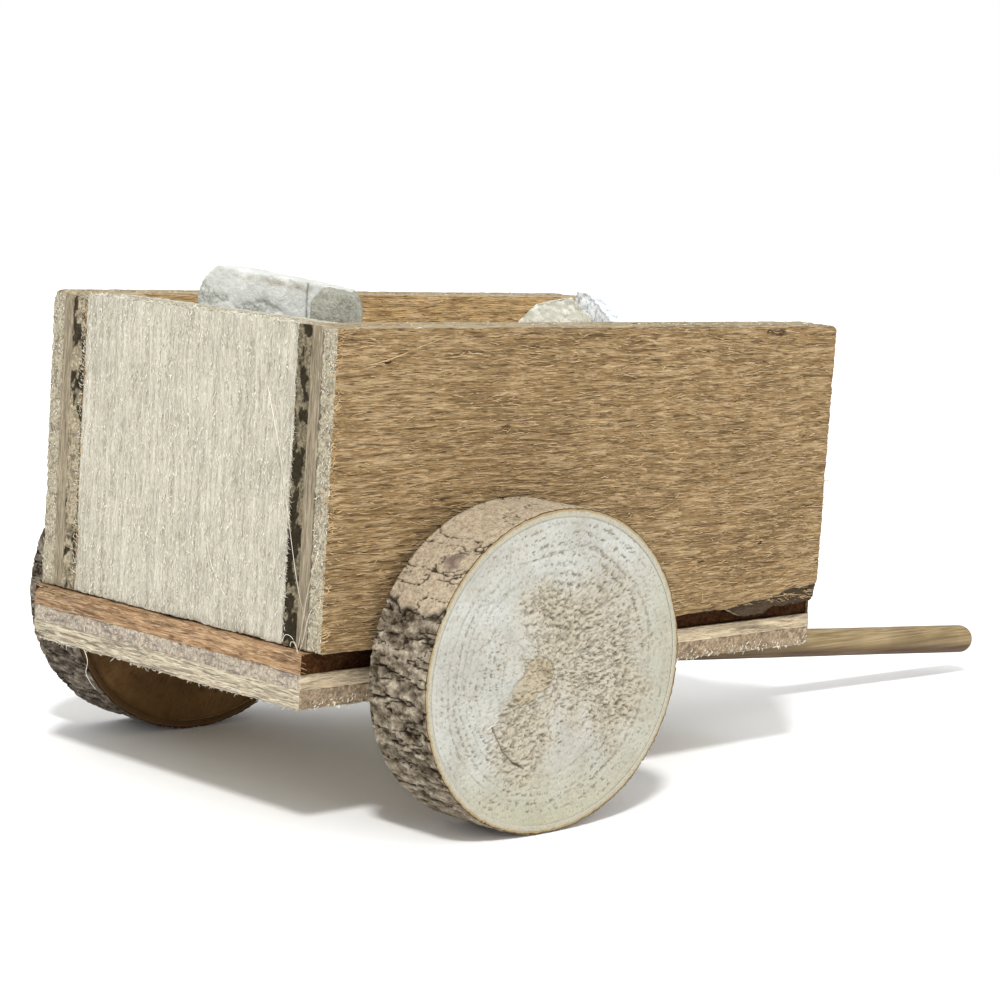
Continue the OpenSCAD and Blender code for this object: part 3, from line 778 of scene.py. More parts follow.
# The sawn face of a fresh branch slice: grey-cream wood with fine pores, buff where the saw tore it up,
# a tan pith, and greenish patches where it dried unevenly. Its pores are drawn coarser than real ones.
def sawnSlice(name, look):
    made, tree, place = startMaterial(name, 0.9, 0.15)
    relief, tint = painted(tree, "relief"), painted(tree, "tint")
    clouds = addNode(tree, "TexNoise", {"Scale": 1000 / 8, "Detail": 4}, {"Vector": place})
    grain = addNode(tree, "TexNoise", {"Scale": 1000 / 0.45, "Detail": 3, "Roughness": 0.65},
                    {"Vector": place}).outputs["Fac"]
    pores = addNode(tree, "TexVoronoi", {"Scale": 1000 / 0.85}, {"Vector": place})
    base = addNode(tree, "ValToRGB", {"stops": list(zip((0.32, 0.5, 0.68), look["tones"]))},
                   {"Fac": clouds.outputs["Fac"]})
    colour = spotted(tree, base.outputs[0], (
        (tint[0], 0, 1, 0.6, look["greenHex"]),
        (relief[1], 0, 1, 0.5, look["tornHex"]),
        (tint[1], 0, 1, 0.5, look["pithHex"]),
    ))
    # painted shade: darker in the dips between the torn lumps, and along the fine grain
    colour = darkened(tree, colour, ((relief[0], 0.1, 0.66, 0.5), (grain, 0.34, 0.86, 0.56)))
    colour = spotted(tree, colour, (
        (pores.outputs["Distance"], 0.24, 0.12, look["poreShare"], look["poreHex"]),
        (relief[2], 0.1, 0.9, 0.9, look["poreHex"]),
    ))
    return surfaced(made, colour, grain, 0.6, 0.2)


# Bark: buff and nearly smooth where it is young, grey-brown, scaly and dark in its cracks where old.
def branchBark(name, look):
    made, tree, place = startMaterial(name, 0.97, 0.08)
    relief, tint = painted(tree, "relief"), painted(tree, "tint")
    blotch, grit = [addNode(tree, "TexNoise", {"Scale": 1000 / size, "Detail": detail, "Roughness": rough},
                            {"Vector": place}).outputs["Fac"]
                    for size, detail, rough in ((1.3, 5, 0.75), (0.42, 3, 0.7))]
    mixed = addNode(tree, "Math", {"operation": "MULTIPLY_ADD", 1: 0.45}, {0: relief[2], 2: blotch})
    old = addNode(tree, "ValToRGB", {"stops": list(zip((0.5, 0.68, 0.84, 0.98), look["old"]))},
                  {"Fac": mixed.outputs[0]})
    fresh = addNode(tree, "ValToRGB", {"stops": list(zip((0.32, 0.45, 0.6), look["young"]))},
                    {"Fac": blotch})
    grey = addNode(tree, "Mix", {"data_type": "RGBA", 6: hexToLinear(look["lowHex"])},
                   {0: tint[2], 7: fresh.outputs[0]})
    colour = addNode(tree, "Mix", {"data_type": "RGBA"},
                     {0: relief[0], 6: old.outputs[0], 7: grey.outputs[2]})
    colour = darkened(tree, colour.outputs[2], [(grit, 0.38, 0.66, 0.52)])
    colour = spotted(tree, colour, (
        (tint[1], 0, 1, 0.75, look["stainHex"]),
        (relief[1], 0.25, 0.9, 0.9, look["crackHex"]),
    ))
    return surfaced(made, colour, grit, 0.9, 0.3)


# The bark where the saw went through it: first pale bast that looks like the wood, then a thin tan line,
# and a thin dark one at the very edge.
def cutBark(name, stops):
    made, tree, place = startMaterial(name, 0.9, 0.12)
    wobble = addNode(tree, "TexNoise", {"Scale": 1000 / 1.6, "Detail": 3}, {"Vector": place})
    out = addNode(tree, "Math", {"operation": "MULTIPLY_ADD", 1: 0.3},
                  {0: wobble.outputs["Fac"], 2: painted(tree, "tint")[0]})
    base = addNode(tree, "ValToRGB", {"stops": stops}, {"Fac": out.outputs[0]})
    grain = addNode(tree, "TexNoise", {"Scale": 1000 / 0.45, "Detail": 3, "Roughness": 0.65},
                    {"Vector": place}).outputs["Fac"]
    return surfaced(made, darkened(tree, base.outputs[0], [(grain, 0.34, 0.8, 0.56)]), grain, 0.6, 0.2)


drawbarLook = {
    "rootRadius": 2.65,  # at its hidden end
    "sides": 64,
    "rings": 260,
    "bow": 0.25,  # how far the stick bows between its ends
    "lump": 0.07,
    "fibreDeep": 0.03,
    "dome": 14,  # mesh rings on its round tip
}


def makeDrawbar(material):
    low, high = boxOf("drawbar")
    tipRadius = (high[1] - low[1]) / 2
    middleY = (high[1] + low[1]) / 2
    tip = np.array([high[0] - tipRadius, middleY, low[2] + tipRadius])
    root = np.array([low[0], middleY, high[2] - drawbarLook["rootRadius"]])
    run = tip - root
    length = np.linalg.norm(run)
    along = run / length
    sideways = np.array([0, 1.0, 0])
    up = np.cross(along, sideways)
    up = up if up[2] > 0 else -up
    sides, rings = drawbarLook["sides"], drawbarLook["rings"]
    places = [(t * length, 1.0) for t in np.linspace(0, 1, rings)]
    quarter = np.linspace(0, math.pi / 2, drawbarLook["dome"] + 1)[1:-1]
    places += [(length + tipRadius * math.sin(a), math.cos(a)) for a in quarter]
    angle = np.arange(sides) * math.tau / sides
    points = []
    for distance, share in places:
        t = min(distance / length, 1)
        radius = (drawbarLook["rootRadius"] * (1 - t) + tipRadius * t) * share
        centre = root + along * distance + up * drawbarLook["bow"] * math.sin(math.pi * t) * 0.4
        points.extend(centre + radius * (np.cos(a) * sideways + np.sin(a) * up) for a in angle)
    points = np.array(points)
    centreLine = root + np.outer((points - root) @ along, along)
    away = points - centreLine
    away /= np.maximum(np.linalg.norm(away, axis=1, keepdims=True), 1e-9)
    local = np.stack([(points - root) @ along, (points - root) @ sideways, (points - root) @ up], -1)
    strand = 0.5 + 0.5 * roughNoise(local, [26, 0.7, 0.7], 61, 3)
    lump = 0.5 + 0.5 * roughNoise(local, [12, 5, 5], 62, 2)
    points -= away * (drawbarLook["fibreDeep"] * strand + drawbarLook["lump"] * lump)[:, None]
    points = np.vstack([points, root, tip + along * (tipRadius - 0.04)])
    count = len(places)
    index = np.arange(count * sides).reshape(count, sides)
    a, b = index[:-1], index[1:]
    quads = np.stack([a, np.roll(a, -1, 1), np.roll(b, -1, 1), b], -1).reshape(-1, 4).tolist()
    quads += [(len(points) - 2, index[0][(k + 1) % sides], index[0][k]) for k in range(sides)]
    quads += [(len(points) - 1, index[-1][k], index[-1][(k + 1) % sides]) for k in range(sides)]
    piece = newPiece("drawbar_stick", points, quads, [material])
    # painted shade: the stick darker the more it faces down
    shadeBelow = smooth(-(away @ up), -0.15, 0.75) + 0.25 * roughNoise(local, [18, 2, 2], 63, 2)
    paint(piece, "relief", np.append(np.clip(shadeBelow, 0, 1), [0, 0]))
    standIn(piece, "cart_box", "bamboo", "drawbar")


# Bamboo rod, turned round and left bare: long even fibres, honey brown, with painted shade darkening its
# underside.
def bambooRod(name, look):
    made, tree, place = startMaterial(name, 0.6, 0.2, {"Coat Weight": 0.03, "Coat Roughness": 0.35})
    lined = addNode(tree, "Mapping", {  # turned to lie along the sloping stick
        "Scale": stretched(60, 0.5, "X"), "Rotation": (0, math.radians(3.9), 0)}, {"Vector": place})
    strands = addNode(tree, "TexNoise", {"Scale": 1, "Detail": 4, "Roughness": 0.6},
                      {"Vector": lined.outputs[0]}).outputs["Fac"]
    blotch = addNode(tree, "TexNoise", {"Scale": 1000 / 9, "Detail": 3}, {"Vector": place})
    base = addNode(tree, "ValToRGB", {"stops": list(zip((0.34, 0.5, 0.66), look["tones"]))},
                   {"Fac": strands})
    colour = darkened(tree, base.outputs[0], [(blotch.outputs["Fac"], 0.35, 0.84, 0.6)])
    colour = spotted(tree, colour, [(painted(tree, "relief")[0], 0, 1, 0.8, look["underShadeHex"])])
    return surfaced(made, colour, strands, 0.35, 0.1)


# Hot-melt glue, run in and set: milky, soft-edged and faintly see-through.
def hotGlue(name, tones):
    made, tree, place = startMaterial(name, 0.32, 0.45, {
        "Subsurface Weight": 0.35, "Subsurface Radius": (0.002, 0.0015, 0.001), "Subsurface Scale": 1.0})
    milk = addNode(tree, "TexNoise", {"Scale": 1000 / 3, "Detail": 3}, {"Vector": place}).outputs["Fac"]
    base = addNode(tree, "ValToRGB", {"stops": list(zip((0.35, 0.65), tones))},
                   {"Fac": milk})
    return surfaced(made, base.outputs[0], milk, 0.3, 0.3)


def remeshed(name, node, cell):  # a CAD node as an even, closed mesh: points in mm, normals, faces
    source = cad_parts[node]
    copy = bpy.data.objects.new(name + "Source", source.data.copy())
    bpy.context.scene.collection.objects.link(copy)
    even = copy.modifiers.new("even", "REMESH")
    even.mode = "VOXEL"
    even.voxel_size = cell * mm
    graph = bpy.context.evaluated_depsgraph_get()
    graph.update()
    mesh = bpy.data.meshes.new_from_object(copy.evaluated_get(graph))
    points = np.zeros(len(mesh.vertices) * 3)
    mesh.vertices.foreach_get("co", points)
    normals = np.zeros(len(mesh.vertices) * 3)
    mesh.vertex_normals.foreach_get("vector", normals)
    faces = [tuple(p.vertices) for p in mesh.polygons]
    bpy.data.objects.remove(copy)
    bpy.data.meshes.remove(mesh)
    return points.reshape(-1, 3) / mm, normals.reshape(-1, 3), faces


def makeGlue(material):
    points, away, faces = remeshed("glue", "drawbar_glue", 0.35)
    low, high = boxOf("drawbar_glue")
    middle = (low[1] + high[1]) / 2
    sag = 0.5 + 0.5 * roughNoise(points, [5, 4, 4], 71, 2)
    flank = smooth(np.abs(points[:, 1] - middle), 2.8, 4.5) * smooth(high[2] - points[:, 2], 0.4, 2.5)
    points = points - away * (0.25 * sag + 0.9 * flank)[:, None]
    points[:, 2] = np.minimum(points[:, 2], high[2])
    standIn(newPiece("drawbar_glue_bead", points, faces, [material]), "cart_box", "glue", "drawbar_glue")


stones = {
    # node: body, material slot; mesh spacing, depth of its dips, size of its lumps, all mm; seed
    "pale_stone": ("pale_stone", "pale_stone", 0.3, 0.22, 5.0, 101),
    "grey_stone": ("grey_stone", "grey_stone", 0.3, 0.4, 3.0, 102),
    "cream_stone": ("cream_stone", "cream_stone", 0.3, 0.6, 3.0, 103),
    "streaked_stone": ("streaked_stone", "streaked_stone", 0.3, 0.6, 3.4, 104),
    "front_near_bed_stone": ("cart_box", "grey_stone", 0.6, 1.0, 6.0, 105),
    "front_far_bed_stone": ("cart_box", "pale_stone", 0.6, 1.2, 6.0, 106),
    "middle_near_bed_stone": ("cart_box", "cream_stone", 0.55, 1.5, 8.0, 107),
    "middle_far_bed_stone": ("cart_box", "grey_stone", 0.55, 1.5, 8.0, 108),
    "rear_near_bed_stone": ("cart_box", "grey_stone", 0.55, 1.3, 7.0, 109),
    "rear_far_bed_stone": ("cart_box", "cream_stone", 0.55, 1.3, 7.0, 110),
}


stoneMarks = {  # on the pale stone, mm
    "crackAt": -9.1,  # its hairline crack, along Y
    "brownTo": 2.0,  # its upper edge is browned on the near side of this
    "lumps": ((8.6, 4.6, 3.4, 2.8), (-1.6, 5.8, 4.4, 1.7), (3.0, 8.5, 5.0, 1.5)),  # Y, depth, and sizes
}


def makeStone(node, rocks):
    body, slot, cell, deep, lump, seed = stones[node]
    points, away, faces = remeshed(node, node, cell)
    low, high = boxOf(node)
    lumps = bumps(0.5, points, [lump] * 3, seed, 4)
    ridge = 1 - np.abs(roughNoise(points, [lump * 0.8] * 3, seed + 3, 4))
    crack, brown = 0, 0
    grain = bumps(0.5, points, [0.8] * 3, seed + 6, 2)
    chips = np.zeros(len(points))
    if node == "pale_stone":  # chipped and lumpy low on its front, smooth above
        drop = high[2] - points[:, 2] - 0.1 * (high[1] - points[:, 1])
        ragged = 0.45 * roughNoise(points, [2.2] * 3, 7, 4)
        for cy, cz, ry, rz in stoneMarks["lumps"]:
            near = 1 - np.hypot((points[:, 1] - cy) / ry, (drop - cz) / rz) + ragged
            chips = np.maximum(chips, smooth(near, 0, 0.14))
        deep = deep + 0.45 * chips
        wander = 0.25 * roughNoise(points, [9, 9, 2.5], 8, 2)
        crack = np.exp(-((points[:, 1] - stoneMarks["crackAt"] + wander) / 0.14) ** 2)
        crack = crack * (1 - smooth(drop, 5, 7))
        edge = np.exp(-((drop - 0.7) / 0.45) ** 2) * (0.5 + 0.8 * roughNoise(points, [1.5] * 3, 9, 3))
        brown = np.clip(edge, 0, 1) * smooth(stoneMarks["brownTo"] - points[:, 1], 0, 2)
    depth = deep * (0.6 * lumps + 0.4 * smooth(ridge, 0.7, 1.0)) + 0.1 * grain
    foot = 1 - smooth(points[:, 2] - low[2], 0.2, 2.0)  # the foot stays where it rests
    points = points - away * (np.maximum(depth, 0) * (1 - 0.85 * foot))[:, None]
    piece = newPiece(node + "_rock", points, faces, [rocks[slot]])
    paint(piece, "relief", brown, crack, chips)
    standIn(piece, body, slot, node)


# Broken stone: fresh breaks are crystalline and pale, and its skin is duller and dusty.
def brokenStone(name, look):
    made, tree, place = startMaterial(name, look.get("roughness", 0.85), 0.3, {
        "Subsurface Weight": look.get("glow", 0), "Subsurface Scale": 1.0,
        "Subsurface Radius": [0.0015] * 3})
    relief = painted(tree, "relief")
    blotchSize, grainSize = look.get("blotch", 6), look.get("grain", 0.5)
    blotch, grain = [addNode(tree, "TexNoise", {"Scale": 1000 / size, "Detail": detail, "Roughness": rough},
                             {"Vector": place}).outputs["Fac"]
                     for size, detail, rough in ((blotchSize, 5, 0.6), (grainSize, 3, 0.7))]
    base = addNode(tree, "ValToRGB", {"stops": list(zip((0.32, 0.5, 0.68), look["tones"]))},
                   {"Fac": blotch})
    veinPlace = addNode(tree, "Mapping", {
        "Rotation": look.get("veinTurn", (0.4, 0.6, 0.2)),
        "Scale": stretched(14, look.get("veinWide", 1.6), "X")}, {"Vector": place})
    vein = addNode(tree, "TexNoise", {"Scale": 1, "Detail": 4, "Distortion": 0.6},
                   {"Vector": veinPlace.outputs[0]})
    rough = addNode(tree, "Math", {"operation": "MULTIPLY_ADD", 1: 0.6}, {0: blotch, 2: grain})
    patchy = addNode(tree, "Math", {"operation": "MULTIPLY"}, {0: relief[2], 1: rough.outputs[0]})
    veinAt = look.get("veinAt", 0.6)
    colour = darkened(tree, base.outputs[0], [(grain, 0.3, look.get("gritDark", 0.86), 0.6)])
    colour = spotted(tree, colour, (
        (vein.outputs["Fac"], veinAt, veinAt + 0.08, look["veinShare"], look["veinHex"]),
        (patchy.outputs[0], 0.74, 0.84, 0.75, look.get("lumpHex", look["veinHex"])),
        (relief[1], 0, 1, 0.8, "#4d4a42"),
        (relief[0], 0, 1, 0.8, "#8f7f68"),
    ))
    return surfaced(made, colour, rough.outputs[0], look.get("bump", 0.6), 0.3)


margin = np.array([0.02, 0.02, 0.02])
insideLow, insideHigh = np.array(cadLow) / mm + margin, np.array(cadHigh) / mm - margin
makeCamera()
makeStudio()
print("camera and studio ready")

# In the looks of wood, tones run from dark to light, "Dark" is how dark a pattern's low parts are, "At" is
# where it starts, "Share" is how strong it is, and lengths are mm.
sideFace = {
    "axis": "X", "tones": ("#95784f", "#a1845b", "#ac8f66"), "fibreDark": 0.66, "fleckHex": "#d8bd94",
    "poreHex": "#452f1c", "poreAt": 0.59, "fleckAt": 0.545, "cloudDark": 0.9, "hollowShadeDark": 0.74,
    "ridgeHighlightShare": 0.35, "streakWide": 0.7, "bump": 1.5, "dirtAndShadeHex": "#3a2717",
}
sideEdge = dict(sideFace, fibreDark=0.82, tones=("#a59473", "#b9a888", "#c7b89a"), poreHex="#7a6748",
                fleckHex="#daceb4", hollowShadeDark=0.7)
sideEnd = {"tones": ("#817761", "#a79e89", "#c3bba3"), "holeHex": "#5d513e", "stainHex": "#524838",
           "stainAt": 0.66, "stainShare": 0.5}
sideWood = woodSet("okoumeVeneerSide", sideFace, sideEdge, sideEnd)
coreFace = dict(sideFace, axis="Z", tones=("#95866c", "#a5977f", "#b2a58c"), poreHex="#796a50",
                fleckHex="#c2b59c", hollowShadeDark=0.75, poreShare=0.4, dirtAndShadeHex="#3b3023")
coreEnd = dict(sideEnd, tones=("#8f7f66", "#a8987d", "#bcad93"), holeHex="#675842", stainShare=0.2)
coreWood = woodSet("poplarCoreSide", coreFace, dict(coreFace), coreEnd)
# its stain colour also paints the shade in the gap beside the front board
innerEnd = dict(sideEnd, tones=("#574d3b", "#7b715b", "#978d75"), stainHex="#211a0f", stain=3.2,
                stainAt=0.5, stainSoft=0.2, stainShare=0.85, holeHex="#403626")
innerFace = dict(sideFace, hollowShadeDark=0.75, fibreDark=0.88, cloudDark=0.94,
                 tones=("#b99464", "#d0ac78", "#e3c08d"))
innerWood = woodSet("okoumeVeneerInner", innerFace, sideEdge, innerEnd)
farInnerEnd = dict(innerEnd, tones=("#7a6d58", "#a2967d", "#bfb39b"))
farInnerWood = woodSet("okoumeVeneerInnerFar", innerFace, sideEdge, farInnerEnd)
paleFace = {
    "axis": "Z", "tones": ("#c6bfac", "#ccc6b4", "#d2cdbc"), "fibreDark": 0.84, "fleckHex": "#eae4d3",
    "poreHex": "#8f8672", "poreShare": 0.4, "fleckShare": 0.55, "cloudDark": 0.95, "streakWide": 0.6,
    "hollowShadeDark": 0.84, "ridgeHighlightShare": 0.3, "fleckLong": 0.9, "fibreLong": 1.6, "bump": 1.2,
}
paleEnd = dict(sideEnd, tones=("#aba591", "#c3bfac", "#d4d1c0"), holeHex="#8e8570", stainShare=0.1)
paleWood = woodSet("limeVeneerFront", paleFace, dict(paleFace), paleEnd)
paleCoreFace = dict(coreFace, axis="Y", tones=("#b7ae95", "#c4bca5", "#cfc9b2"))
paleCore = woodSet("poplarCoreFront", paleCoreFace, dict(paleCoreFace), coreEnd)
baseTop = dict(sideFace, axis="Y", tones=("#9c7956", "#b5916c", "#c6a683"), poreHex="#583c28",
               fleckHex="#e3c199", dirtAndShadeHex="#7b6e61", hollowShadeDark=0.62)
# the base's top veneer end grain: its own dark brown, deepened with painted shade from the near side's
# overhang
baseTopEndShaded = dict(sideEnd, tones=("#301a07", "#422713", "#56381d"), holeHex="#1d0e04", stainHex="#1d0e04")
baseTopWood = woodSet("okoumeVeneerBaseTop", baseTop, dict(baseTop), baseTopEndShaded)
baseCoreFace = dict(coreFace, axis="X", tones=("#c8b293", "#e1cca9", "#f5e0be"), poreHex="#7c6853",
                    hollowShadeDark=0.6)
baseCoreEnd = dict(sideEnd, tones=("#8d7f76", "#b0a491", "#cabfae"), holeHex="#66584f", stainHex="#6e6463",
                   stainAt=0.55, stainShare=0.7, stainSoft=0.06, stain=0.55, stainLong=7)
baseCoreWood = woodSet("poplarCoreBase", baseCoreFace, dict(baseCoreFace), baseCoreEnd)
baseLow = dict(sideFace, axis="Y", tones=("#b2a188", "#cdbfa6", "#e0d3ba"), poreHex="#77654e",
               fleckHex="#f7f1d4", hollowShadeDark=0.6)
baseLowEnd = dict(sideEnd, tones=("#786752", "#9b876f", "#b8a78c"), holeHex="#544230", stainHex="#725d50",
                  stainShare=0.4, stainAt=0.55)
baseLowWood = woodSet("okoumeVeneerBaseBottom", baseLow, dict(baseLow), baseLowEnd)
print("wood finishes ready")


def voidsAndJointShade(grid, away):  # the near side's inner veneer is dark and crumbly where it meets the front board, with painted shade in the joint's gap
    onFront = np.maximum(-away[:, 0], 0)
    rough = 0.5 + 0.6 * roughNoise(grid, [2, 1.3, 3.2], 301, 4)
    middle = np.exp(-((grid[:, 1] + 27.8) / 1.3) ** 2)
    # painted shade in the gap along the joint with the front board
    joint = np.exp(-((grid[:, 1] + 26.4) / 0.45) ** 2)
    fine = 0.5 + 0.6 * roughNoise(grid, [1.2, 1.0, 1.4], 305, 3)
    hole = smooth(0.5 * rough + 0.5 * fine + 0.3 * middle, 0.54, 0.76)
    return np.clip(onFront * (hole + 0.9 * joint), 0, 1)


# dirt on the near side's face: place and size along X and Z in mm, and strength
faceSpots = (
    (-5.5, 76.9, 6.0, 0.7, 0.75), (-11.0, 75.4, 2.6, 0.5, 0.6), (-6.0, 39.4, 0.5, 0.8, 1.0),
    (-21.8, 38.0, 1.7, 0.35, 0.9), (-97.5, 73.0, 0.8, 0.5, 0.9), (-71.0, 62.4, 1.6, 0.4, 0.7),
    (-44.0, 58.8, 1.2, 0.3, 0.7), (-30.0, 71.0, 1.8, 0.3, 0.6), (-60.0, 68.3, 2.2, 0.3, 0.6),
    (-84.0, 51.5, 2.6, 0.3, 0.7),
)


def faceDirtAndShade(grid, away):  # dirt spots on the face, and painted shade on the strip just under its torn line
    rows = grid[:, 1] + 35.4
    # painted shade on the strip just under the torn line
    shade = np.where(grid[:, 0] > -34, smooth(rows, 0.77, 0.8) * (1 - smooth(rows, 0.88, 0.96)), 0)
    rough = 0.5 * roughNoise(grid, [1.6, 9, 0.6], 307, 3)
    for cx, cz, rx, rz, strength in faceSpots:
        near = 1 - np.hypot((grid[:, 0] - cx) / rx, (grid[:, 2] - cz) / rz) + rough
        shade = np.maximum(shade, strength * smooth(near, 0, 0.5) * (rows < 0.5))
    return shade


def roundFarCorner(points, grid, away, low, high):
    return roundCorner(points, low[0], high[2], boards["farCorner"], 0, 2, -1, 1)


def farVoidsAndJointShade(grid, away):  # and the far side's has dark holes high up, with painted shade in the joint's gap
    onFront = np.maximum(-away[:, 0], 0)
    rough = 0.5 + 0.6 * roughNoise(grid, [3, 1.6, 4.0], 302, 4)
    fine = 0.5 + 0.6 * roughNoise(grid, [1.2, 1.0, 1.4], 306, 3)
    # painted shade in the gap along the joint with the front board
    joint = np.exp(-((grid[:, 1] - 25.6) / 0.45) ** 2)
    high = 0.3 * smooth(grid[:, 2], 52, 70)
    return np.clip(onFront * (smooth(0.6 * rough + 0.4 * fine + high, 0.68, 0.92) + 0.8 * joint), 0, 1)


def greyed(grid, away):  # weathering: the base's top veneer turns grey towards its far end
    onFront = np.maximum(-away[:, 0], 0)
    rough = 0.5 + 0.5 * roughNoise(grid, [4, 12, 1.4], 303, 4)
    return np.clip(0.45 * onFront * smooth(rough + 0.35 * smooth(grid[:, 1], -10, 30), 0.6, 1.1), 0, 1)


x, y, z = 0, 1, 2
# extra rows through the near side's outer veneer, where its face skin ends and the torn strip begins
tornRows = {1: np.array([0, 0.12, 0.35, 0.79, 0.81, 0.83, 0.85, 0.87, 1.4, 2.0, 2.3, 2.5, 3.0, 3.3])}
makePly("near_side_outer_ply", "beech_face", sideWood, y, x, "high", 1, [0.5, 0.5, 0.22], breakNearSide,
        marks=tornRows, dirtAndShade=faceDirtAndShade)
makePly("near_side_core_ply", "core_veneer", coreWood, y, z, "both", 1, [0.8, 0.4, 0.5])
makePly("near_side_inner_ply", "inner_face", innerWood, y, x, "low", 1, [0.8, 0.3, 0.35], dirtAndShade=voidsAndJointShade)
makePly("far_side_outer_ply", "beech_face", sideWood, y, x, "low", 4, [0.7, 0.5, 0.35], roundFarCorner)
makePly("far_side_core_ply", "core_veneer", coreWood, y, z, "both", 4, [0.8, 0.4, 0.5], roundFarCorner)
makePly("far_side_inner_ply", "inner_face", farInnerWood, y, x, "high", 4, [0.6, 0.3, 0.3], roundFarCorner,
        dirtAndShade=farVoidsAndJointShade)
makePly("front_outer_ply", "pale_face", paleWood, x, z, "high", 7, [0.5, 0.2, 0.45])
makePly("front_core_ply", "core_veneer", paleCore, x, y, "both", 7)
makePly("front_inner_ply", "pale_face", paleWood, x, z, "low", 7)
makePly("rear_outer_ply", "pale_face", paleWood, x, z, "low", 10, [0.5, 0.3, 0.6])
makePly("rear_core_ply", "core_veneer", paleCore, x, y, "both", 10)
makePly("rear_inner_ply", "pale_face", paleWood, x, z, "high", 10)
makePly("base_top_ply", "base_top_face", baseTopWood, z, y, "low", 13, [0.6, 0.5, 0.25], wearBase,
        dirtAndShade=greyed)
makePly("base_core_ply", "base_core", baseCoreWood, z, x, "both", 13, [0.6, 0.4, 0.25], wearBase)
makePly("base_bottom_ply", "base_bottom_face", baseLowWood, z, y, "high", 13, [0.6, 0.4, 0.25], wearBase)
print("boards built")

paleFibre = looseFibre("paleWoodFibre", "#efe9da", "#cfc6b0")
tanFibre = looseFibre("tanWoodFibre", "#d6bb90", "#a98a5f")
crumbs = {"spread": 0.4, "length": (0.25, 0.85), "rise": (0.02, 0.12), "bend": 0.08, "radius": (0.05, 0.12)}
strands = {"spread": 0.1, "length": (1.2, 4.0), "rise": (0.02, 0.14), "bend": 0.12, "radius": (0.04, 0.09)}
front, near, up, alongX, alongY = (-1, 0, 0), (0, -1, 0), (0, 0, 1), (1, 0, 0), (0, 1, 0)
fuzz("front_face_crumbs", "pale_face", paleFibre, crumbs, 1, 2600,
     (-107.97, -25.8, 29.8), (-107.85, 25.2, 77.7), up, front)
fuzz("front_face_curls", "pale_face", paleFibre, strands, 21, 160,
     (-107.97, -25.6, 31), (-107.9, 25, 77), (0, 0.3, 1), front,
     spread=0.6, length=(0.7, 2.0), rise=(0.1, 0.35), radius=(0.03, 0.06))
fuzz("side_face_strands", "beech_face", tanFibre, strands, 2, 2600,
     (-107.4, -35.3, 30), (10.4, -35.15, 77.5), alongX, near)
fuzz("side_face_crumbs", "beech_face", tanFibre, crumbs, 22, 1200,
     (-107.4, -35.3, 30), (10.4, -35.15, 77.5), alongX, near, spread=0.3, length=(0.4, 1.4))
fuzz("near_rim_crumbs", "beech_face", paleFibre, crumbs, 3, 260,
     (-107.8, -35.2, 77.8), (10.8, -26.6, 77.95), alongX, up)
fuzz("far_rim_crumbs", "beech_face", paleFibre, crumbs, 4, 200,
     (-107.8, 25.8, 77.8), (10.8, 34.4, 77.95), alongX, up)
fuzz("front_rim_crumbs", "pale_face", paleFibre, crumbs, 5, 420,
     (-107.9, -26, 77.8), (-104.5, 25.4, 78.0), alongY, up, spread=0.7, rise=(0.05, 0.4), bend=0.2)
fuzz("near_end_crumbs", "beech_face", paleFibre, crumbs, 6, 620,
     (-107.9, -35.3, 29.4), (-107.75, -32.3, 77.6), up, front,
     spread=0.8, length=(0.2, 0.6), radius=(0.05, 0.1))
fuzz("near_corner_crumbs", "beech_face", tanFibre, crumbs, 7, 300,
     (-107.8, -35.3, 29.4), (-106.6, -35.2, 77.8), (1, 0, 0.2), near, length=(0.3, 1.1), rise=(0.02, 0.16))
fuzz("near_joint_crumbs", "pale_face", paleFibre, crumbs, 8, 240,
     (-107.95, -26.9, 29.6), (-107.8, -26.1, 77.6), (0, 1, 0.6), front,
     spread=0.7, length=(0.3, 1.0), rise=(0.05, 0.3), radius=(0.03, 0.07))
fuzz("far_joint_crumbs", "pale_face", paleFibre, crumbs, 9, 240,
     (-107.95, 25.2, 29.6), (-107.8, 26.4, 77.6), (0, 1, 0.6), front,
     spread=0.7, length=(0.3, 1.0), rise=(0.05, 0.3), radius=(0.03, 0.07))
fuzz("far_end_crumbs", "beech_face", paleFibre, crumbs, 16, 420,
     (-107.9, 31.6, 29.4), (-107.75, 34.5, 77.6), up, front,
     spread=0.8, length=(0.2, 0.6), radius=(0.05, 0.1))
fuzz("base_front_strands", "base_top_face", tanFibre, strands, 10, 420,
     (-109.25, -32.4, 26.2), (-109.15, 33.5, 28.9), alongY, front,
     length=(0.8, 3.0), rise=(0.01, 0.08), radius=(0.04, 0.08))
fuzz("base_front_crumbs", "base_core", paleFibre, crumbs, 17, 420,
     (-109.25, -32.4, 20.2), (-109.15, 33.5, 26), alongY, front, length=(0.2, 0.7))
fuzz("base_front_fringe", "base_bottom_face", paleFibre, crumbs, 11, 170,
     (-109.2, -32.6, 20.0), (-108.6, 33, 20.5), (0, 1, -0.3), front,
     length=(0.3, 1.2), rise=(0.02, 0.15), bend=0.2, radius=(0.05, 0.1))
fuzz("base_near_fringe", "base_bottom_face", paleFibre, crumbs, 12, 420,
     (-108, -32.85, 20.2), (12.2, -32.5, 21.6), (0.6, 0, 1), near,
     length=(0.2, 0.7), rise=(0.03, 0.25), bend=0.2, radius=(0.07, 0.15))
fuzz("torn_strip_fringe", "beech_face", tanFibre, strands, 13, 120,
     (-14, -34.7, 29.0), (10.4, -34.4, 30.4), (1, 0, -0.15), near, length=(0.6, 1.8), rise=(0.02, 0.15))
fuzz("far_inner_curls", "inner_face", tanFibre, strands, 14, 160,
     (-99, 25.55, 55), (1, 25.6, 77.2), alongX, near,
     spread=0.5, length=(0.8, 2.6), rise=(0.1, 0.5), bend=0.5)
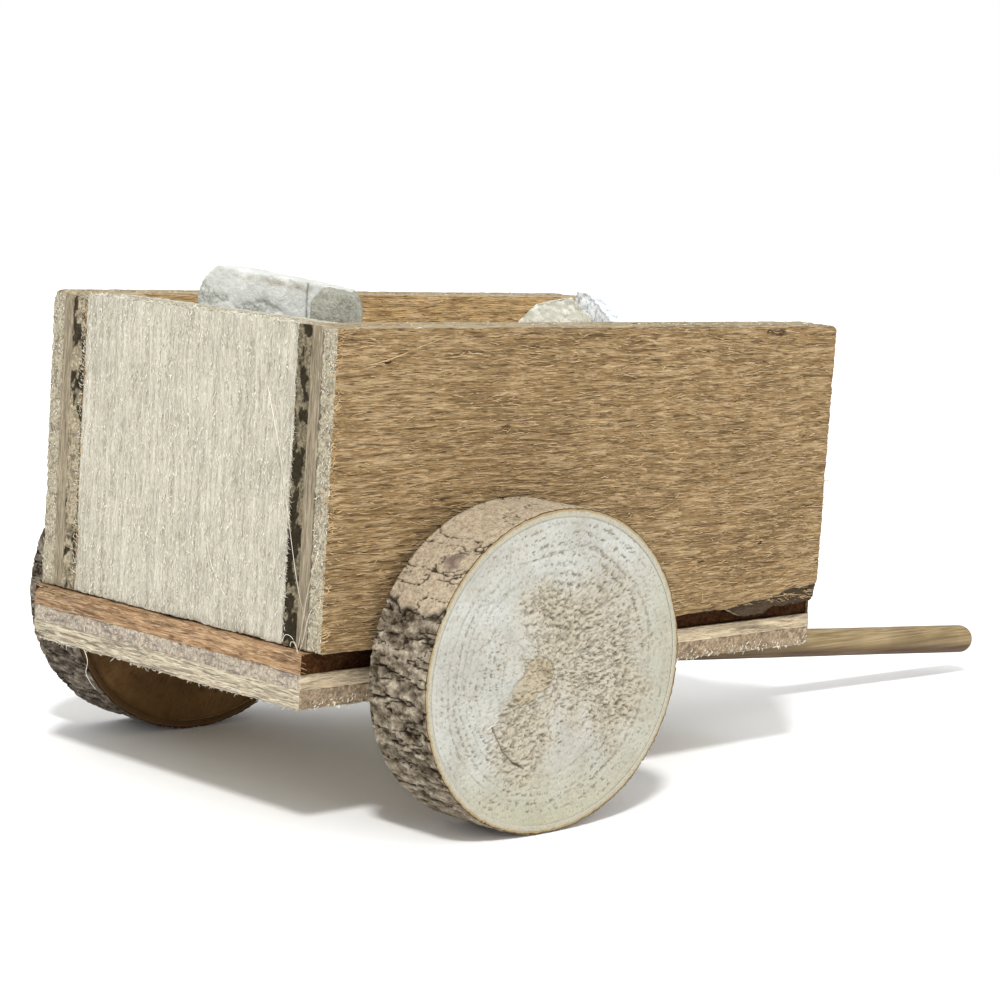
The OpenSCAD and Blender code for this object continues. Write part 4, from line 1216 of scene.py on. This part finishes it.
hairs("corner_hairs", "beech_face", paleFibre, [
    [(-108.2, -20.5, 68), (-108.8, -25, 58), (-109, -28.5, 46), (-108.9, -31, 37), (-108.2, -33.5, 31.5)],
    [(-108.1, -30.5, 29.4), (-108.9, -32, 33), (-109.2, -33.2, 39), (-109, -34.6, 44), (-108.2, -35.2, 50)],
    [(-108.2, -31, 29.2), (-109, -32.6, 31), (-109.3, -33.8, 35.5), (-108.8, -35.2, 37),
     (-107.5, -35.9, 36.5)],
    [(-108.3, -27, 29.6), (-109.2, -28.5, 31.4), (-109.3, -30.5, 31.2), (-109, -31.5, 29),
     (-109.1, -31, 26.5)],
    [(-108.4, -29, 29.4), (-109.3, -30.2, 30.6), (-109.4, -31.6, 30.2), (-109.3, -32.4, 27.5),
     (-109.2, -32, 25.5)],
    [(-109.1, 22, 29), (-109.35, 21.5, 26.5), (-109.3, 20.3, 24), (-109.35, 20.6, 21.5),
     (-109.2, 19.5, 20)],
    [(-109.2, 20.5, 20.4), (-109.3, 19, 18.6), (-109.2, 20, 16.5), (-109, 18.5, 15), (-108.8, 17.4, 14.2)],
    [(-108.1, -8, 42), (-108.4, -9.5, 39), (-108.4, -11.5, 36.4), (-108.3, -12.6, 35), (-108.1, -14, 33.5)],
], 0.075)
hairs("face_hair", "beech_face", tanFibre, [
    [(-101, -35.3, 72.4), (-96, -35.6, 73.6), (-91, -35.65, 75.2), (-87, -35.6, 76.3), (-83, -35.3, 77.2)],
    [(-103, -35.3, 68.4), (-100.5, -35.6, 68.9), (-98, -35.6, 68.8), (-95.5, -35.5, 69.5),
     (-93, -35.3, 69.6)],
], 0.09)
hairs("splinter", "beech_face", paleFibre, [
    [(-86.0, -49.1, 17.6), (-85.2, -49.15, 18.2), (-84.4, -49.18, 18.6), (-83.6, -49.1, 18.5)],
], 0.2)
print("loose fibres built")

cleanSlice = {
    "tones": ("#adaba2", "#b8b7ae", "#bfbfb8"), "greenHex": "#a5a07f", "tornHex": "#b6a687",
    "pithHex": "#ab9874", "poreHex": "#675a43", "poreShare": 0.5}
# the slices' inner faces, the far one looking out under the cart: dirty wood, darkened further with painted
# shade
dirtAndShadeSlice = {
    "tones": ("#62482f", "#765838", "#8c6b48"), "greenHex": "#6a5026", "tornHex": "#80603c",
    "pithHex": "#6a4d26", "poreHex": "#402e1c", "poreShare": 0.4}
sliceFace = sawnSlice("limeBranchSawnFace", cleanSlice)
sliceShade = sawnSlice("limeBranchDirtAndShadeFace", dirtAndShadeSlice)
barkSkin = branchBark("limeBranchBark", {
    "old": ("#42382a", "#746959", "#968a79", "#bab099"), "young": ("#8a7b66", "#ad9d86", "#c2b298"),
    "lowHex": "#ad9e8b", "stainHex": "#5f4e4a", "crackHex": "#20170e"})
barkDark = branchBark("limeBranchBarkShaded", {
    "old": ("#352c22", "#5e554a", "#7a7064", "#999080"), "young": ("#716352", "#8e7f6d", "#9f907c"),
    "lowHex": "#7d7469", "stainHex": "#4a3c3a", "crackHex": "#171009"})
barkRim = cutBark("limeInnerBark", [
    (0.0, "#b4b1a3"), (0.66, "#b0aa96"), (0.8, "#a08c68"), (0.95, "#a5916d"), (1.06, "#5d4c36")])
farRim = cutBark("limeInnerBarkShaded", [
    (0.0, "#5a4227"), (0.7, "#5e472b"), (0.85, "#75593a"), (1.0, "#3a2b1e")])
nearCracks = [
    [(-13.3, -6.4), (-12.2, -8.3), (-10.6, -10.5), (-8.4, -12.3), (-5.9, -13.6)],
]
nearScratches = [
    [(-11.9, 20.9), (-11.6, 14.7), (-14.5, 13.2), (-18.0, 12.7)],
    [(-11.6, 14.7), (-6.5, 17.2)],
    [(-3.6, 12.6), (0.6, 9.8)], [(-3.4, 9.4), (2.2, 14.2)],
    [(-1, 5.5), (3.6, 2.6)], [(-19.5, 5), (-13, 8.2)], [(-10, 18.5), (6, 21)],
]
makeWheel("near", sliceFace, sliceShade, [barkSkin, barkRim, farRim], 31, wheels["faceStep"],
          nearCracks, nearScratches)
makeWheel("far", sliceFace, sliceShade, [barkDark, barkRim, farRim], 47, 0.4, [[(2, 3), (12, 14)]], [])
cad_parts["axle"].data.materials.clear()
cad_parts["axle"].data.materials.append(longGrain("beechDowel", {
    "axis": "Y", "tones": ("#b39263", "#c6a676", "#d3b687"), "fibreDark": 0.85, "fleckHex": "#dcc499",
    "poreHex": "#8a6b42"}))
paint(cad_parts["axle"], "relief", 0.6, 0)
print("wheels and axle built")

makeDrawbar(bambooRod("bambooRod", {"tones": ("#6b5a3b", "#8b7753", "#a08e6d"), "underShadeHex": "#3c1d06"}))
makeGlue(hotGlue("hotMeltGlue", ("#bdb28c", "#d0c8aa")))
print("drawbar built")

rocks = {  # by material slot
    "pale_stone": brokenStone("gypsumSlab", {
        "tones": ("#c4c5be", "#d0d2cc", "#e2e3dd"), "veinHex": "#b0b0a3", "veinShare": 0.35, "glow": 0.1,
        "blotch": 4, "roughness": 0.65, "gritDark": 0.93, "lumpHex": "#8f9083"}),
    "grey_stone": brokenStone("greySandstone", {
        "tones": ("#9d9c8e", "#abaa9c", "#bab9ab"), "veinHex": "#8c8b7f", "veinShare": 0.3, "grain": 0.4,
        "gritDark": 0.6, "bump": 0.9}),
    "cream_stone": brokenStone("creamLimestone", {
        "tones": ("#d0cdbc", "#e1e0d2", "#f3f2e6"), "veinHex": "#b7af97", "veinShare": 0.35, "blotch": 3}),
    "streaked_stone": brokenStone("streakedQuartz", {
        "tones": ("#e5eae9", "#f7f7f7", "#f7f7f7"), "veinHex": "#b1bec6", "veinShare": 0.75, "veinAt": 0.5,
        "glow": 0.1, "veinWide": 0.8, "veinTurn": (0.3, 0.9, 0.7), "roughness": 0.6}),
}
for node in stones:
    makeStone(node, rocks)
print("stones built")
